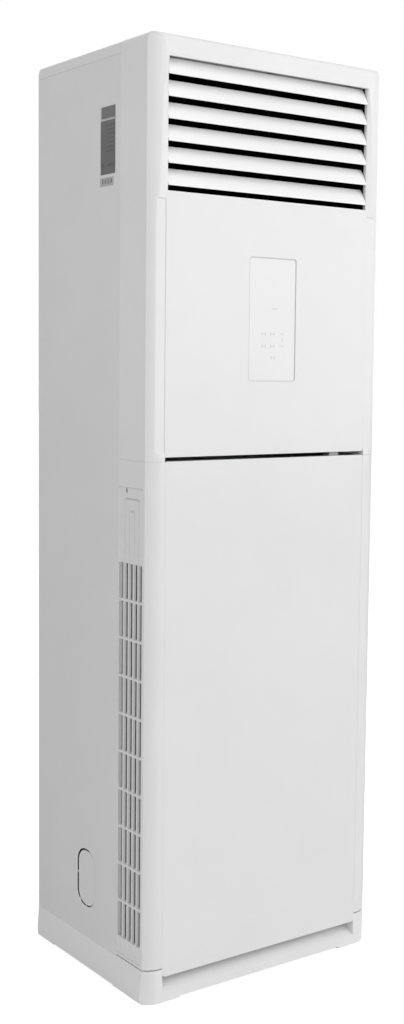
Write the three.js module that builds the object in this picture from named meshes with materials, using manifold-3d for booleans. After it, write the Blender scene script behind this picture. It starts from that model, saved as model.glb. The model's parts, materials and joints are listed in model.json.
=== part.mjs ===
// A floor standing air conditioner: a tall cabinet with a louvred outlet, a display panel, a lower
// service panel hung from its top edge and a slotted return grille in each side.
// Millimetres, +X to the right seen from the front, +Y to the back, +Z up, origin on the floor
// under the middle of the cabinet.
import * as THREE from "three";
import { mergeVertices } from "three/addons/utils/BufferGeometryUtils.js";
import Module from "manifold-3d";

const wasm = await Module();
wasm.setup();

// ---------------------------------------------------------------- driving dimensions

// Cabinet
const height = 1824;
const bodyWidth = 560;
const depth = 425;
const frameDepth = 106; // plastic front frames, from the front plane to the sheet-metal sides
const sheetWall = 1.2;
const plasticWall = 3;
const seat = 0.3; // between pieces that touch
const cornerAcross = 32; // the rounded front corners, an ellipse in plan
const cornerDeep = 14;
const frontSkin = 12; // depth of the moulded front of the frames

// Base
const skirtFlare = 3;
const skirtTop = 66;
const blockTop = 69;
const padHeight = 4.5;
const baseFloor = 3.5;
const padAcross = 82;
const frontPadDepth = 117;
const rearPadDepth = 66;
const toeRidge = 22;
const toeDeep = 20;
const toeRise = 22;

// Front panels
const columnWide = 38; // lower frame's column beside the panel
const upperColumnWide = 35.7;
const panelGap = 1;
const lowerPanelBottom = 51;
const upperSection = 780.5; // from the lower panel's top edge to the cabinet's top
const slotHeight = 7.5;
const panelFlange = 12;
const panelCorner = 8;
const splitDrop = 0.5; // joint of the two frames, below the lower panel's top edge
const upperPanelInset = 3;
const ribCount = 4;
const ribFoot = 72.5; // lowest rib, above the panel's foot
const hookInset = 62; // hook's middle, in from the panel's edge
const stopInset = 32;
const stopWide = 20;
const railHigh = 30;
const sillRailHigh = 26;

// Outlet
const headerHigh = 41;
const outletHeight = 241.3;
const outletColumn = 38;
const jambWall = 3;
const jambDepth = 46;
const sillStep = 3.7; // outlet's floor, below the upper panel's top edge
const ceilingStep = 5;
const notchDrop = 14.7; // foot of the outlet's bevels, below the upper panel's top edge
const ductLength = 130;

// Blades and vanes
const bladeCount = 6;
const bladeSpare = 1.3; // outlet height that the blades leave over
const bladeLean = 18; // how far a blade's upper edge stands behind its lower edge
const bladeRise = 32;
const bladeBulge = 2;
const bladeThick = 2.4;
const firstBladeDrop = 31; // first blade's lower edge, below the outlet's top
const lowEdgeInset = 2;
const pivotBack = 22; // pivot, behind and above the blade's lower edge
const pivotUp = 24;
const crankBack = 16; // link pin, behind and below the pivot
const crankDrop = 6;
const pinRadius = 2.3;
const pinClear = 0.3;
const vaneCount = 8;
const vaneEdge = 32; // end vane, in from the outlet's side wall
const vaneBehindDuctFront = 20;
const vaneNose = 10;
const vaneTail = 34;
const vaneThick = 2;
const vaneEndClear = 3;
const vaneLinkArm = 26;

// Display
const windowWidth = 114;
const windowHeight = 238;
const windowRise = 143; // above the slot between the panels
const windowOffset = 6;
const windowCorner = 5;
const windowThick = 2.7;
const ledge = 6;
const ledgeThick = 2;

// Side grilles
const grilleRise = 8; // above the base
const grilleDrop = 52; // below the joint of the frames
const grilleFront = 23; // behind the front plane
const grilleGap = 0.5;
const frameLip = 2.5;
const grilleRear = frameDepth - frameLip - grilleGap;
const grilleDeep = 8;
const slotColumns = 5;
const slotRows = 10;
const slotWide = 11;
const slotPitch = 16.6;
const firstSlot = 23.4; // front edge of the foremost slot, behind the front plane
const archHigh = 148.8; // plain face above the slots
const crossBar = 4.2;
const firstRowRise = 29.4; // above the grille's foot
const terraceStep = 1.1;
const hingePinRadius = 1.6;

// Top cover
const capHeight = 21;
const capDrop = 4;
const capRound = 14;

// Fan section
const deckDrop = 183; // below the joint of the frames
const deckThick = 1.5;
const scrollDrop = 95; // scroll's top, below the deck
const voluteMargin = 35;
const voluteGrowth = 67;
const tongueGap = 13; // between the wheel and the scroll's narrowest place
const bladeRing = 27; // wheel's rim less its eye
const inletLap = 13; // wheel's eye less the inlet
const wheelInset = 10; // behind the housing's front wall
const wheelWidth = 148;
const wheelBlades = 24;
const tongueAngle = 60;
const throatLeft = 70;
const housingStand = 262.5; // housing's front wall, ahead of the back
const housingWidth = 175;
const housingWall = 1.5;
const shaftRadius = 6;
const motorRadius = 68;
const motorFlange = 10;
const motorLength = 70;
const bracketMargin = 26; // bracket's edge, out from the motor's flange

// Heat exchanger
const coilMargin = 45;
const coilThick = 44;
const coilLength = 600;
const coilTilt = 20;
const coilStand = 117.5; // coil's foot, behind the front plane
const coilLift = 46; // coil's foot, above the deck
const panStand = 52.5;
const panDeep = 120;
const panHeight = 38;
const panWall = 2.5;
const panSideGap = 14;
const pipeBehindCoil = [81, 111]; // gas and liquid pipe, behind the coil's foot
const pipeAboveCoil = [184, 204];

// Controls
const controlHalf = 150;
const controlStand = 17.5; // behind the front plane
const controlDeep = 62;
const controlClear = 15.2; // above the drain pan
const controlWall = 1.5;
const boardInset = 10;
const boardGap = 12;
const terminalWide = 48;

// Rating label
const labelWide = 45;
const labelHigh = 141;
const labelStand = 131; // behind the front plane
const labelDrop = 114; // below the top

// Pipe entry in the left side
const knockOutY = 13;
const knockOutZ = 186;
const knockOutWide = 64;
const knockOutTall = 112;
const knockOutSlit = 1.6;

// ---------------------------------------------------------------- derived places

const side = bodyWidth / 2;
const front = -depth / 2;
const back = depth / 2;
const frameRear = front + frameDepth;
const panelHalf = side - columnWide;
const upperPanelHalf = side - upperColumnWide;
const outletHalf = side - outletColumn;
const lowerPanelTop = height - upperSection;
const ribPitch = (lowerPanelTop - lowerPanelBottom - ribFoot) / ribCount;
const frameSplit = lowerPanelTop - splitDrop;
const slotTop = lowerPanelTop + slotHeight;
const outletTop = height - headerHigh;
const outletSill = outletTop - outletHeight;
const sillTop = outletSill - sillStep;
const ceilingZ = outletTop + ceilingStep;
const notchZ = outletSill - notchDrop;
const bladePitch = (outletHeight - bladeSpare) / bladeCount;
const firstBladeLow = outletTop - firstBladeDrop;
const vanePitch = (2 * (outletHalf - vaneEdge)) / (vaneCount - 1);
const windowBottom = slotTop + windowRise;
const grilleBottom = blockTop + grilleRise;
const grilleTop = frameSplit - grilleDrop;
const firstRow = grilleBottom + firstRowRise;
const rowPitch = (grilleTop - archHigh - firstRow + crossBar) / slotRows;
const deckZ = frameSplit - deckDrop;
const voluteReach = side - voluteMargin;
const fanZ = deckZ - scrollDrop - voluteReach;
const volutePinch = voluteReach - voluteGrowth;
const wheelRadius = volutePinch - tongueGap;
const wheelEye = wheelRadius - bladeRing;
const inletRadius = wheelEye - inletLap;
const housingFrontY = back - housingStand;
const wheelFrontY = housingFrontY + wheelInset;
const coilWidth = bodyWidth - 2 * coilMargin;
const coilFootY = front + coilStand;
const coilFootZ = deckZ + coilLift;
const panFrontY = front + panStand;
const panRearY = panFrontY + panDeep;
const pipeY = pipeBehindCoil.map((y) => coilFootY + y);
const capTop = height - capDrop;
const capBottom = capTop - capHeight;
const ductFront = front + jambDepth + seat;
const backInside = back - sheetWall;

// ---------------------------------------------------------------- materials

const finish = (color, roughness, metalness = 0) =>
  new THREE.MeshStandardMaterial({ color, roughness, metalness });
const glossWhite = finish(0xe9e9ea, 0.18);
const satinWhite = finish(0xe4e4e5, 0.4);
const paintedSteel = finish(0xd6d7d9, 0.45);
const galvanised = finish(0xa9adb0, 0.4, 0.9);
const blackPlastic = finish(0x232426, 0.6);
const windowAcrylic = finish(0xe6e7e9, 0.1);
const boardGreen = finish(0x2d5a3c, 0.6);
const filterMesh = finish(0x9a9da0, 0.7);
const finAluminium = finish(0xb4b9bd, 0.35, 0.9);
const copper = finish(0xb06a42, 0.35, 0.95);
const labelGrey = finish(0x6c6e71, 0.55);
const motorGrey = finish(0x83878b, 0.45, 0.8);
const foamWhite = finish(0xcfd2d4, 0.8);

// ---------------------------------------------------------------- shape helpers

// A closed geometry as a solid for cutting and joining.
function solidOf(geometry) {
  const bare = geometry.index ? geometry.toNonIndexed() : geometry.clone();
  bare.deleteAttribute("normal");
  bare.deleteAttribute("uv");
  const merged = mergeVertices(bare, 1e-4);
  const triVerts = new Uint32Array(merged.index.array);
  const vertProperties = merged.attributes.position.array;
  return new wasm.Manifold(new wasm.Mesh({ numProp: 3, vertProperties, triVerts }));
}

// A solid as a flat-shaded three.js geometry.
function geometryOf(solid) {
  const mesh = solid.getMesh();
  const shared = new THREE.BufferGeometry();
  shared.setAttribute("position", new THREE.BufferAttribute(mesh.vertProperties, 3));
  shared.setIndex(new THREE.BufferAttribute(mesh.triVerts, 1));
  const geometry = shared.toNonIndexed();
  geometry.computeVertexNormals();
  return geometry;
}

function box(x0, x1, y0, y1, z0, z1) {
  const geometry = new THREE.BoxGeometry(x1 - x0, y1 - y0, z1 - z0);
  geometry.translate((x0 + x1) / 2, (y0 + y1) / 2, (z0 + z1) / 2);
  return solidOf(geometry);
}

const AXES = {
  x: [new THREE.Vector3(0, 1, 0), new THREE.Vector3(0, 0, 1), new THREE.Vector3(1, 0, 0)],
  y: [new THREE.Vector3(-1, 0, 0), new THREE.Vector3(0, 0, 1), new THREE.Vector3(0, 1, 0)],
  z: [new THREE.Vector3(1, 0, 0), new THREE.Vector3(0, 1, 0), new THREE.Vector3(0, 0, 1)],
};

// An outline drawn in the plane across an axis (YZ, XZ or XY) and extruded along that axis.
function extrude(axis, shape, from, to, curveSegments = 4) {
  const drawn = axis === "y" ? mirrored(shape, curveSegments) : shape;
  const geometry = new THREE.ExtrudeGeometry(drawn, {
    depth: to - from,
    bevelEnabled: false,
    curveSegments,
  });
  geometry.translate(0, 0, from);
  geometry.applyMatrix4(new THREE.Matrix4().makeBasis(...AXES[axis]));
  return solidOf(geometry);
}

// The outline with its first coordinate turned round, because the XZ plane is seen from behind.
function mirrored(shape, curveSegments) {
  const { shape: points, holes } = shape.extractPoints(curveSegments);
  const turn = (list) => list.map((p) => new THREE.Vector2(-p.x, p.y));
  const result = new THREE.Shape(turn(points));
  result.holes = holes.map((hole) => new THREE.Path(turn(hole)));
  return result;
}

const polygon = (...points) => new THREE.Shape(points.map(([u, v]) => new THREE.Vector2(u, v)));

function roundedRect(u0, u1, v0, v1, radius) {
  const shape = new THREE.Shape();
  shape.absarc(u1 - radius, v0 + radius, radius, -Math.PI / 2, 0);
  shape.absarc(u1 - radius, v1 - radius, radius, 0, Math.PI / 2);
  shape.absarc(u0 + radius, v1 - radius, radius, Math.PI / 2, Math.PI);
  shape.absarc(u0 + radius, v0 + radius, radius, Math.PI, Math.PI * 1.5);
  return shape;
}

function disc(u, v, radius) {
  return new THREE.Shape().absarc(u, v, radius, 0, Math.PI * 2);
}

// A round bar along an axis, through (u, v) in the plane across it.
const rod = (axis, u, v, radius, from, to, halfSides = 4) =>
  extrude(axis, disc(u, v, radius), from, to, halfSides);

// Plan of the cabinet's front part: flat sides, elliptical front corners, open towards the back.
function plan(half, y0, y1, across, deep) {
  const shape = new THREE.Shape();
  shape.moveTo(-half, y1);
  shape.lineTo(-half, y0 + deep);
  shape.absellipse(-half + across, y0 + deep, across, deep, Math.PI, Math.PI * 1.5);
  shape.absellipse(half - across, y0 + deep, across, deep, Math.PI * 1.5, Math.PI * 2);
  shape.lineTo(half, y1);
  return shape;
}

const join = (first, ...rest) => rest.reduce((sum, solid) => sum.add(solid), first);
const cut = (first, ...rest) => rest.reduce((left, solid) => left.subtract(solid), first);
const common = (first, ...rest) => rest.reduce((left, solid) => left.intersect(solid), first);
const mirrorX = (solid) => solid.mirror([1, 0, 0]);
const bothSides = (solid) => [solid, mirrorX(solid)];
const radians = (degrees) => (degrees * Math.PI) / 180;

const unit = new THREE.Group();

// Adds a named piece, at a place in its parent where it was drawn round its own origin.
function piece(name, solid, material, place = [0, 0, 0], tiltX = 0) {
  const mesh = new THREE.Mesh(geometryOf(solid), material);
  mesh.name = name;
  mesh.position.set(...place);
  mesh.rotation.x = tiltX;
  unit.add(mesh);
  return mesh;
}

// ---------------------------------------------------------------- base

function basePlinth() {
  const half = side + skirtFlare;
  const flare = polygon(
    [-side, blockTop], [-side - 0.6, skirtTop - 8], [-half, 22], [-half, 3], [-half + 3, 0],
    [half - 3, 0], [half, 3], [half, 22], [side + 0.6, skirtTop - 8], [side, blockTop],
  );
  const floorTop = padHeight + baseFloor;
  const toe = polygon(
    [front - 1, toeRidge], [front + 1.5, toeRidge], [front + toeDeep, toeRidge + toeRise],
    [front + toeDeep, blockTop + 1], [front - 1, blockTop + 1],
  );
  const inside = side - plasticWall;
  return cut(
    common(
      extrude("z", plan(half, front, back, cornerAcross, cornerDeep + 4), 0, blockTop),
      extrude("y", flare, front - 1, back + 1),
    ),
    box(-inside, inside, front + toeDeep + plasticWall, back - plasticWall, floorTop, height),
    box(-half - 1, half + 1, frameRear, back + 1, skirtTop, height),
    box(-half + padAcross, half - padAcross, front - 1, back + 1, -1, padHeight),
    box(-half - 1, half + 1, front + frontPadDepth, back - rearPadDepth, -1, padHeight),
    extrude("x", toe, -panelHalf, panelHalf),
  );
}

// ---------------------------------------------------------------- sheet-metal sides and back

const panelFoot = skirtTop + seat;
const panelHead = capBottom - seat;
const flangeIn = 14;

// Folded sheet, an open channel in plan.
function sidePanel() {
  const outer = -side;
  const inner = outer + sheetWall;
  const lip = outer + flangeIn;
  const y0 = frameRear + seat;
  const y1 = backInside - seat;
  const channel = polygon(
    [outer, y0], [lip, y0], [lip, y0 + sheetWall], [inner, y0 + sheetWall],
    [inner, y1 - sheetWall], [lip, y1 - sheetWall], [lip, y1], [outer, y1],
  );
  return extrude("z", channel, panelFoot, panelHead);
}

// The pipe entry: an oval pressed almost free, held by four small bridges.
function knockOut() {
  const halfWide = knockOutWide / 2;
  const halfTall = knockOutTall / 2;
  const oval = (grow) =>
    roundedRect(
      knockOutY - halfWide - grow, knockOutY + halfWide + grow,
      knockOutZ - halfTall - grow, knockOutZ + halfTall + grow, halfWide - 4 + grow,
    );
  const through = (shape) => extrude("x", shape, -side - 1, -side + sheetWall + 1, 3);
  const bridge = 4;
  return cut(
    through(oval(knockOutSlit)),
    through(oval(0)),
    box(-side - 2, -side + 3, -back, back, knockOutZ + 4, knockOutZ + 4 + bridge),
    box(-side - 2, -side + 3, knockOutY - bridge / 2, knockOutY + bridge / 2, 0, height),
  );
}

const grommetX = 75 - side;
const grommetZ = 140;
const grommetRadius = 15;

function backPanel() {
  const hole = rod("y", grommetX, grommetZ, grommetRadius, backInside - 1, back + 1, 8);
  return cut(box(-side, side, backInside, back, panelFoot, panelHead), hole);
}

function cableGrommet() {
  const inside = grommetRadius - seat;
  const lip = 2.5;
  return cut(
    join(
      rod("y", 0, 0, inside, -lip - seat - sheetWall - seat, 0, 8),
      rod("y", 0, 0, inside + 4, -lip - sheetWall - 2 * seat, -sheetWall - 2 * seat, 8),
    ),
    rod("y", 0, 0, inside - 4, -10, 1, 8),
  );
}

// ---------------------------------------------------------------- top cover

function topCover() {
  const y0 = frameRear + seat;
  const profile = (y1, z1, round) => {
    const shape = new THREE.Shape();
    shape.moveTo(y0 - 1, 0);
    shape.lineTo(y1, 0);
    shape.absarc(y1 - round, z1 - round, round, 0, Math.PI / 2);
    shape.lineTo(y0 - 1, z1);
    return shape;
  };
  const across = (half, z1, round) => {
    const shape = new THREE.Shape();
    shape.moveTo(-half, 0);
    shape.lineTo(half, 0);
    shape.absarc(half - round, z1 - round, round, 0, Math.PI / 2);
    shape.absarc(-half + round, z1 - round, round, Math.PI / 2, Math.PI);
    return shape;
  };
  const edge = 4;
  const outside = common(
    box(-side, side, y0, back, capBottom, capTop),
    extrude("x", profile(back, capTop, capRound), -side, side),
    extrude("y", across(side, capTop, edge), y0, back),
  );
  const hollow = common(
    box(-side, side, y0 + plasticWall, back, capBottom - 1, capTop),
    extrude("x", profile(back - plasticWall, capTop - plasticWall, capRound - 3), -side, side),
    extrude("y", across(side - plasticWall, capTop - plasticWall, 2), y0, back),
  );
  return cut(outside, hollow);
}

// ---------------------------------------------------------------- front frames

const frameHollow = 17; // depth of the hollow behind the frame's moulded front
const jambRear = front + 40;
const railDeep = 13;
const webRear = front + frameHollow + plasticWall;
const lowerOpening = panelHalf + panelGap;

// Section of the right column: outer skin, hollow, web behind it and jamb beside the panel.
function columnSection(opening) {
  const inner = side - plasticWall;
  const jamb = opening + plasticWall;
  const lip = side - flangeIn;
  const shape = new THREE.Shape();
  shape.moveTo(opening, front);
  shape.absellipse(
    side - cornerAcross, front + cornerDeep, cornerAcross, cornerDeep, Math.PI * 1.5, Math.PI * 2,
  );
  shape.lineTo(side, frameRear);
  shape.lineTo(lip, frameRear);
  shape.lineTo(lip, frameRear - frameLip);
  shape.lineTo(inner, frameRear - frameLip);
  shape.lineTo(inner, webRear);
  shape.lineTo(jamb, webRear);
  shape.lineTo(jamb, jambRear);
  shape.lineTo(opening, jambRear);
  const hollow = new THREE.Path();
  hollow.moveTo(jamb, front + plasticWall);
  hollow.absellipse(
    side - cornerAcross, front + cornerDeep, cornerAcross - plasticWall, cornerDeep - plasticWall,
    Math.PI * 1.5, Math.PI * 2,
  );
  hollow.lineTo(inner, front + frameHollow);
  hollow.lineTo(jamb, front + frameHollow);
  shape.holes.push(hollow);
  return shape;
}

function lowerFrontFrame() {
  const z0 = blockTop + seat;
  const z1 = frameSplit;
  const railFront = jambRear - railDeep;
  const reach = lowerOpening + 1;
  const column = extrude("z", columnSection(lowerOpening), z0, z1, 6);
  const frame = join(
    column,
    mirrorX(column),
    box(-reach, reach, railFront, jambRear - 1, z0, z0 + sillRailHigh),
    box(-reach, reach, railFront, jambRear - 1, z1 - railHigh, z1),
    ...bothSides(panelStop(railFront)),
    ...bothSides(hookBar(railFront)),
  );
  const gy0 = front + grilleFront - grilleGap;
  const gy1 = frameRear - frameLip;
  const wallInside = side - plasticWall - 1;
  const windowCut = box(wallInside, side + 1, gy0, gy1, grilleBottom - 2, grilleTop + grilleGap);
  const pinHole = (from, to) => rod("y", hingeX, hingeZ, hingePinRadius + pinClear, from, to);
  return cut(
    frame,
    ...bothSides(windowCut),
    ...bothSides(pinHole(front + frameHollow - 1, webRear + 1)),
    ...bothSides(pinHole(gy1 - 1, frameRear + 1)),
  );
}
const hingeX = side - plasticWall - hingePinRadius - 0.6;
const hingeZ = grilleBottom + 3;

// A pad that the lower panel closes against.
function panelStop(railY) {
  const outer = panelHalf - stopInset;
  return box(
    outer - stopWide, outer, front + plasticWall + seat, railY + 1, blockTop + 4, blockTop + 18,
  );
}

// The bar that one of the lower panel's hooks hangs on, between two cheeks.
const hookX = panelHalf - hookInset;
const hookHalf = 12;
const hookBarRadius = 3;
const hookY = front + 15;
const hookZ = lowerPanelTop - 7.5;
const cheekGap = 1.5;
const cheekWall = 3.5;

function hookBar(railY) {
  const inner = hookHalf + cheekGap;
  const outer = inner + cheekWall;
  const cheek = (x) => box(x, x + cheekWall, front + 12.5, railY + 1, hookZ - 8, hookZ + 4);
  return join(
    cheek(hookX - outer),
    cheek(hookX + inner),
    rod("x", hookY, hookZ, hookBarRadius, hookX - outer + 1, hookX + outer - 1),
  );
}

const bladePivotY = front + lowEdgeInset + pivotBack;
const bladePivotZ = (i) => firstBladeLow + pivotUp - i * bladePitch;
const pivotHole = (x0, x1, i) =>
  rod("x", bladePivotY, bladePivotZ(i), pinRadius + pinClear, x0, x1);
const bladeIndexes = [...Array(bladeCount).keys()];

// The bevels that lead from the frame's ridge down to the panel and into the outlet.
function frameBevels() {
  const panelEdge = upperPanelHalf + 0.5;
  const shallow = common(
    extrude("z", polygon(
      [-side + 16, front - 2], [-panelEdge + 2, front - 2], [-panelEdge + 2, front + 4.2],
      [-side + 16, front + 1.9],
    ), frameSplit, outletTop),
    extrude("y", polygon(
      [-side, slotTop + 21], [-panelEdge + 2, slotTop - 1], [-panelEdge + 2, notchZ], [-side, notchZ],
    ), front - 3, front + 6),
  );
  const deep = common(
    extrude("z", polygon(
      [-outletHalf - 15, front - 2], [-outletHalf + 1, front - 2], [-outletHalf + 1, front + 9.5],
      [-outletHalf, front + 9], [-outletHalf - 15, front + 0.4],
    ), frameSplit, outletTop),
    extrude("y", polygon(
      [-outletHalf - 15, notchZ + 0.5], [-outletHalf + 1, notchZ + 0.5],
      [-outletHalf + 1, outletTop], [-outletHalf - 10, outletTop],
    ), front - 3, front + 11),
  );
  return [...bothSides(shallow), ...bothSides(deep)];
}

function upperFrontFrame() {
  const z0 = frameSplit + seat;
  const outside = frontShell(0, z0);
  const hollow = common(
    frontShell(plasticWall, z0 - 1),
    box(-side, side, front + frontSkin, frameRear + 2, z0 - 1, height),
  );
  const opening = upperPanelHalf + 0.5;
  const outletRear = front + jambDepth;
  const jamb = join(
    box(outletHalf, outletHalf + jambWall, front + 9, outletRear, outletSill + 0.5, ceilingZ + 3),
    box(outletHalf, outletHalf + jambWall, front + frontSkin, outletRear, notchZ - 3, outletSill + 1),
  );
  const lowerJamb = box(opening, opening + jambWall, front + 5, jambRear, z0, notchZ);
  const reach = outletHalf + jambWall;
  const solid = join(
    cut(
      outside,
      hollow,
      box(-opening, opening, front - 1, front + frontSkin + 1, z0 - 1, outletSill + 0.5),
      box(-outletHalf, outletHalf, front - 1, front + frontSkin + 1, outletSill, outletTop),
      ...frameBevels(),
    ),
    ...bothSides(jamb),
    ...bothSides(lowerJamb),
    box(-reach, reach, front + frontSkin, outletRear, notchZ - 3, sillTop),
    box(-reach, reach, front + frontSkin - 1, outletRear, ceilingZ, ceilingZ + 3),
    box(-opening - 1, opening + 1, front + frontSkin, jambRear, slotTop + 1, slotTop + 25),
  );
  const holes = bladeIndexes.flatMap((i) => bothSides(pivotHole(outletHalf - 1, reach + 1, i)));
  return cut(solid, ...holes);
}

// Outer form of the upper front frame, drawn in by an inset for its hollow.
function frontShell(inset, z0) {
  const half = side - inset;
  const top = height - inset;
  const corner = 13 - inset;
  const elevation = new THREE.Shape();
  elevation.moveTo(-half, z0);
  elevation.lineTo(half, z0);
  elevation.absarc(half - corner, top - corner, corner, 0, Math.PI / 2);
  elevation.absarc(-half + corner, top - corner, corner, Math.PI / 2, Math.PI);
  const profile = new THREE.Shape();
  const crown = 10 - inset;
  profile.moveTo(frameRear + inset, z0);
  profile.lineTo(frameRear + inset, top);
  profile.absellipse(
    front + inset + cornerDeep - inset, top - crown, cornerDeep - inset, crown,
    Math.PI / 2, Math.PI,
  );
  profile.lineTo(front + inset, z0);
  return common(
    extrude("z", plan(half, front + inset, frameRear + inset, cornerAcross, cornerDeep), z0, top),
    extrude("y", elevation, front - 1, frameRear + 2),
    extrude("x", profile, -side - 1, side + 1),
  );
}

// ---------------------------------------------------------------- front panels

function lowerPanel() {
  const outline = (inset) =>
    roundedRect(
      -panelHalf + inset, panelHalf - inset, lowerPanelBottom + inset, lowerPanelTop - inset,
      panelCorner - inset,
    );
  const shell = cut(
    extrude("y", outline(0), front, front + panelFlange),
    extrude("y", outline(plasticWall), front + plasticWall, front + panelFlange + 1),
  );
  const ribs = [...Array(ribCount).keys()].map((i) => {
    const z = lowerPanelBottom + ribFoot + i * ribPitch;
    return box(-panelHalf + 1, panelHalf - 1, front + 2, front + 9, z, z + 2.5);
  });
  return join(shell, ...ribs, ...bothSides(panelHook()));
}

// A hook open downwards, hung over its bar.
function panelHook() {
  const ring = hookBarRadius + 3.5;
  const x0 = hookX - hookHalf;
  const x1 = hookX + hookHalf;
  const arm = box(x0, x1, front + 2, hookY - hookBarRadius - 0.5, hookZ - ring, hookZ + ring);
  return cut(
    join(rod("x", hookY, hookZ, ring, x0, x1), arm),
    rod("x", hookY, hookZ, hookBarRadius + pinClear, x0 - 1, x1 + 1),
    box(
      x0 - 1, x1 + 1, hookY - hookBarRadius - pinClear, hookY + hookBarRadius + pinClear,
      hookZ - 20, hookZ,
    ),
  );
}

// The spring catch over the right hook, seen in the slot between the panels.
function panelLatch() {
  const rail = frameSplit + seat;
  return join(
    box(hookX - 12, hookX + 12, front + 18, front + 38, rail, rail + 2.2),
    box(hookX - 12, hookX + 12, front + 18, front + 20, rail, rail + 6),
  );
}

const windowShape = (grow) =>
  roundedRect(
    windowOffset - windowWidth / 2 - grow, windowOffset + windowWidth / 2 + grow,
    windowBottom - grow, windowBottom + windowHeight + grow, windowCorner + Math.max(grow, -4),
  );

function upperPanel() {
  const y0 = front + upperPanelInset;
  const y1 = front + frontSkin - seat;
  const outline = (inset) =>
    roundedRect(
      -upperPanelHalf + inset, upperPanelHalf - inset, slotTop + inset, outletSill - inset, 3.5 - inset,
    );
  const plateRear = y0 + windowThick + seat;
  return cut(
    join(
      cut(
        extrude("y", outline(0), y0, y1),
        extrude("y", outline(2.5), plateRear, y1 + 1),
      ),
      extrude("y", windowShape(5), plateRear - 1, plateRear + ledgeThick),
    ),
    extrude("y", windowShape(seat), y0 - 1, plateRear),
    extrude("y", windowShape(-ledge), y0 - 1, y1 + 1),
  );
}

function displayWindow() {
  const y0 = front + upperPanelInset;
  return extrude("y", windowShape(0), y0, y0 + windowThick);
}

// Circuit board with the number display and a spring under each touch key.
function displayBoard() {
  const y0 = front + upperPanelInset + windowThick + seat + ledgeThick + seat;
  const halfX = windowWidth / 2 - 2;
  const middle = windowBottom + windowHeight / 2;
  const board = box(
    windowOffset - halfX, windowOffset + halfX, y0, y0 + 1.6, windowBottom + 3,
    windowBottom + windowHeight - 3,
  );
  const digits = box(windowOffset - 24, windowOffset + 24, y0 - 2, y0 + 1, middle + 8, middle + 32);
  const keys = [-22, -1, 22].flatMap((x) =>
    [-28, -51].map((z) => rod("y", windowOffset + x, middle + z, 4, y0 - 2, y0 + 1, 3)),
  );
  return join(board, digits, ...keys);
}

// ---------------------------------------------------------------- side grilles and filters

// One return grille, drawn for the left side: terraced arches above and below ten rows of slots.
function intakeGrille() {
  const y0 = front + grilleFront;
  const y1 = front + grilleRear;
  const slotY = (c) => front + firstSlot + c * slotPitch;
  const rowZ = (r) => firstRow + r * rowPitch;
  const slotsTop = rowZ(slotRows) - crossBar;
  const face = -side + 0.8;
  const plate = box(face, -side + grilleDeep, y0, y1, grilleBottom, grilleTop);
  const shelf = 5;
  const scoops = [
    box(face + 3.5, -side + grilleDeep + 1, y0 + 3, y1 - 3, slotsTop + shelf, grilleTop - 3),
    box(face + 3.5, -side + grilleDeep + 1, y0 + 3, y1 - 3, grilleBottom + 3, firstRow - shelf),
  ];
  const terraces = [1, 2].flatMap((step) => {
    const c0 = slotY(step - 1) + slotWide + 2;
    const c1 = slotY(slotColumns - step) - 2;
    const depthHere = step * terraceStep;
    const archTop = grilleTop - step * 21;
    const archFoot = grilleBottom + step * 8;
    return [
      arch(face, depthHere, c0, c1, slotsTop - 1, archTop, true),
      arch(face, depthHere, c0, c1, archFoot, firstRow + 1, false),
    ];
  });
  const slots = [];
  for (let c = 0; c < slotColumns; c += 1) {
    for (let r = 0; r < slotRows; r += 1) {
      slots.push(
        box(-side - 1, -side + grilleDeep + 1, slotY(c), slotY(c) + slotWide, rowZ(r),
          rowZ(r + 1) - crossBar),
      );
    }
  }
  const notch = extrude(
    "x", roundedRect(front + 77, front + 82, grilleTop - 9, grilleTop + 3, 2.4), -side - 1,
    -side + 20, 2,
  );
  const pin = join(
    rod("y", -hingeX, hingeZ, hingePinRadius, webRear - plasticWall + 0.5, y0 + 4),
    rod("y", -hingeX, hingeZ, hingePinRadius, y1 - 4, frameRear - 0.5),
  );
  return join(cut(plate, ...scoops, ...terraces, ...slots, notch), pin);
}

// A shallow step in the grille's face, with a round-cornered end at its top or its foot.
function arch(face, deep, y0, y1, z0, z1, roundTop) {
  const r = Math.min(7, (y1 - y0) / 2 - 0.5);
  const shape = new THREE.Shape();
  if (roundTop) {
    shape.moveTo(y0, z0);
    shape.lineTo(y1, z0);
    shape.absarc(y1 - r, z1 - r, r, 0, Math.PI / 2);
    shape.absarc(y0 + r, z1 - r, r, Math.PI / 2, Math.PI);
  } else {
    shape.moveTo(y1, z1);
    shape.lineTo(y0, z1);
    shape.absarc(y0 + r, z0 + r, r, Math.PI, Math.PI * 1.5);
    shape.absarc(y1 - r, z0 + r, r, Math.PI * 1.5, Math.PI * 2);
  }
  return extrude("x", shape, face - 1, face + deep, 3);
}

// Filter behind the left grille: a ribbed frame with a thin mesh sheet.
function airFilter() {
  const x0 = -side + grilleDeep + 0.4;
  const x1 = x0 + 5;
  const y0 = front + grilleFront - 2.6;
  const y1 = front + grilleRear + 0.1;
  const z0 = grilleBottom + 4;
  const z1 = grilleTop - 4;
  const rail = 6;
  const cells = 6;
  const cellHeight = (z1 - z0 - rail * (cells + 1)) / cells;
  const windows = [...Array(cells).keys()].map((i) => {
    const low = z0 + rail + i * (cellHeight + rail);
    return box(x0 - 1, x1 + 1, y0 + rail, y1 - rail, low, low + cellHeight);
  });
  return join(
    cut(box(x0, x1, y0, y1, z0, z1), ...windows),
    box(x0 + 2, x0 + 2.8, y0 + 2, y1 - 2, z0 + 2, z1 - 2),
  );
}

// ---------------------------------------------------------------- outlet blades and vanes

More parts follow.
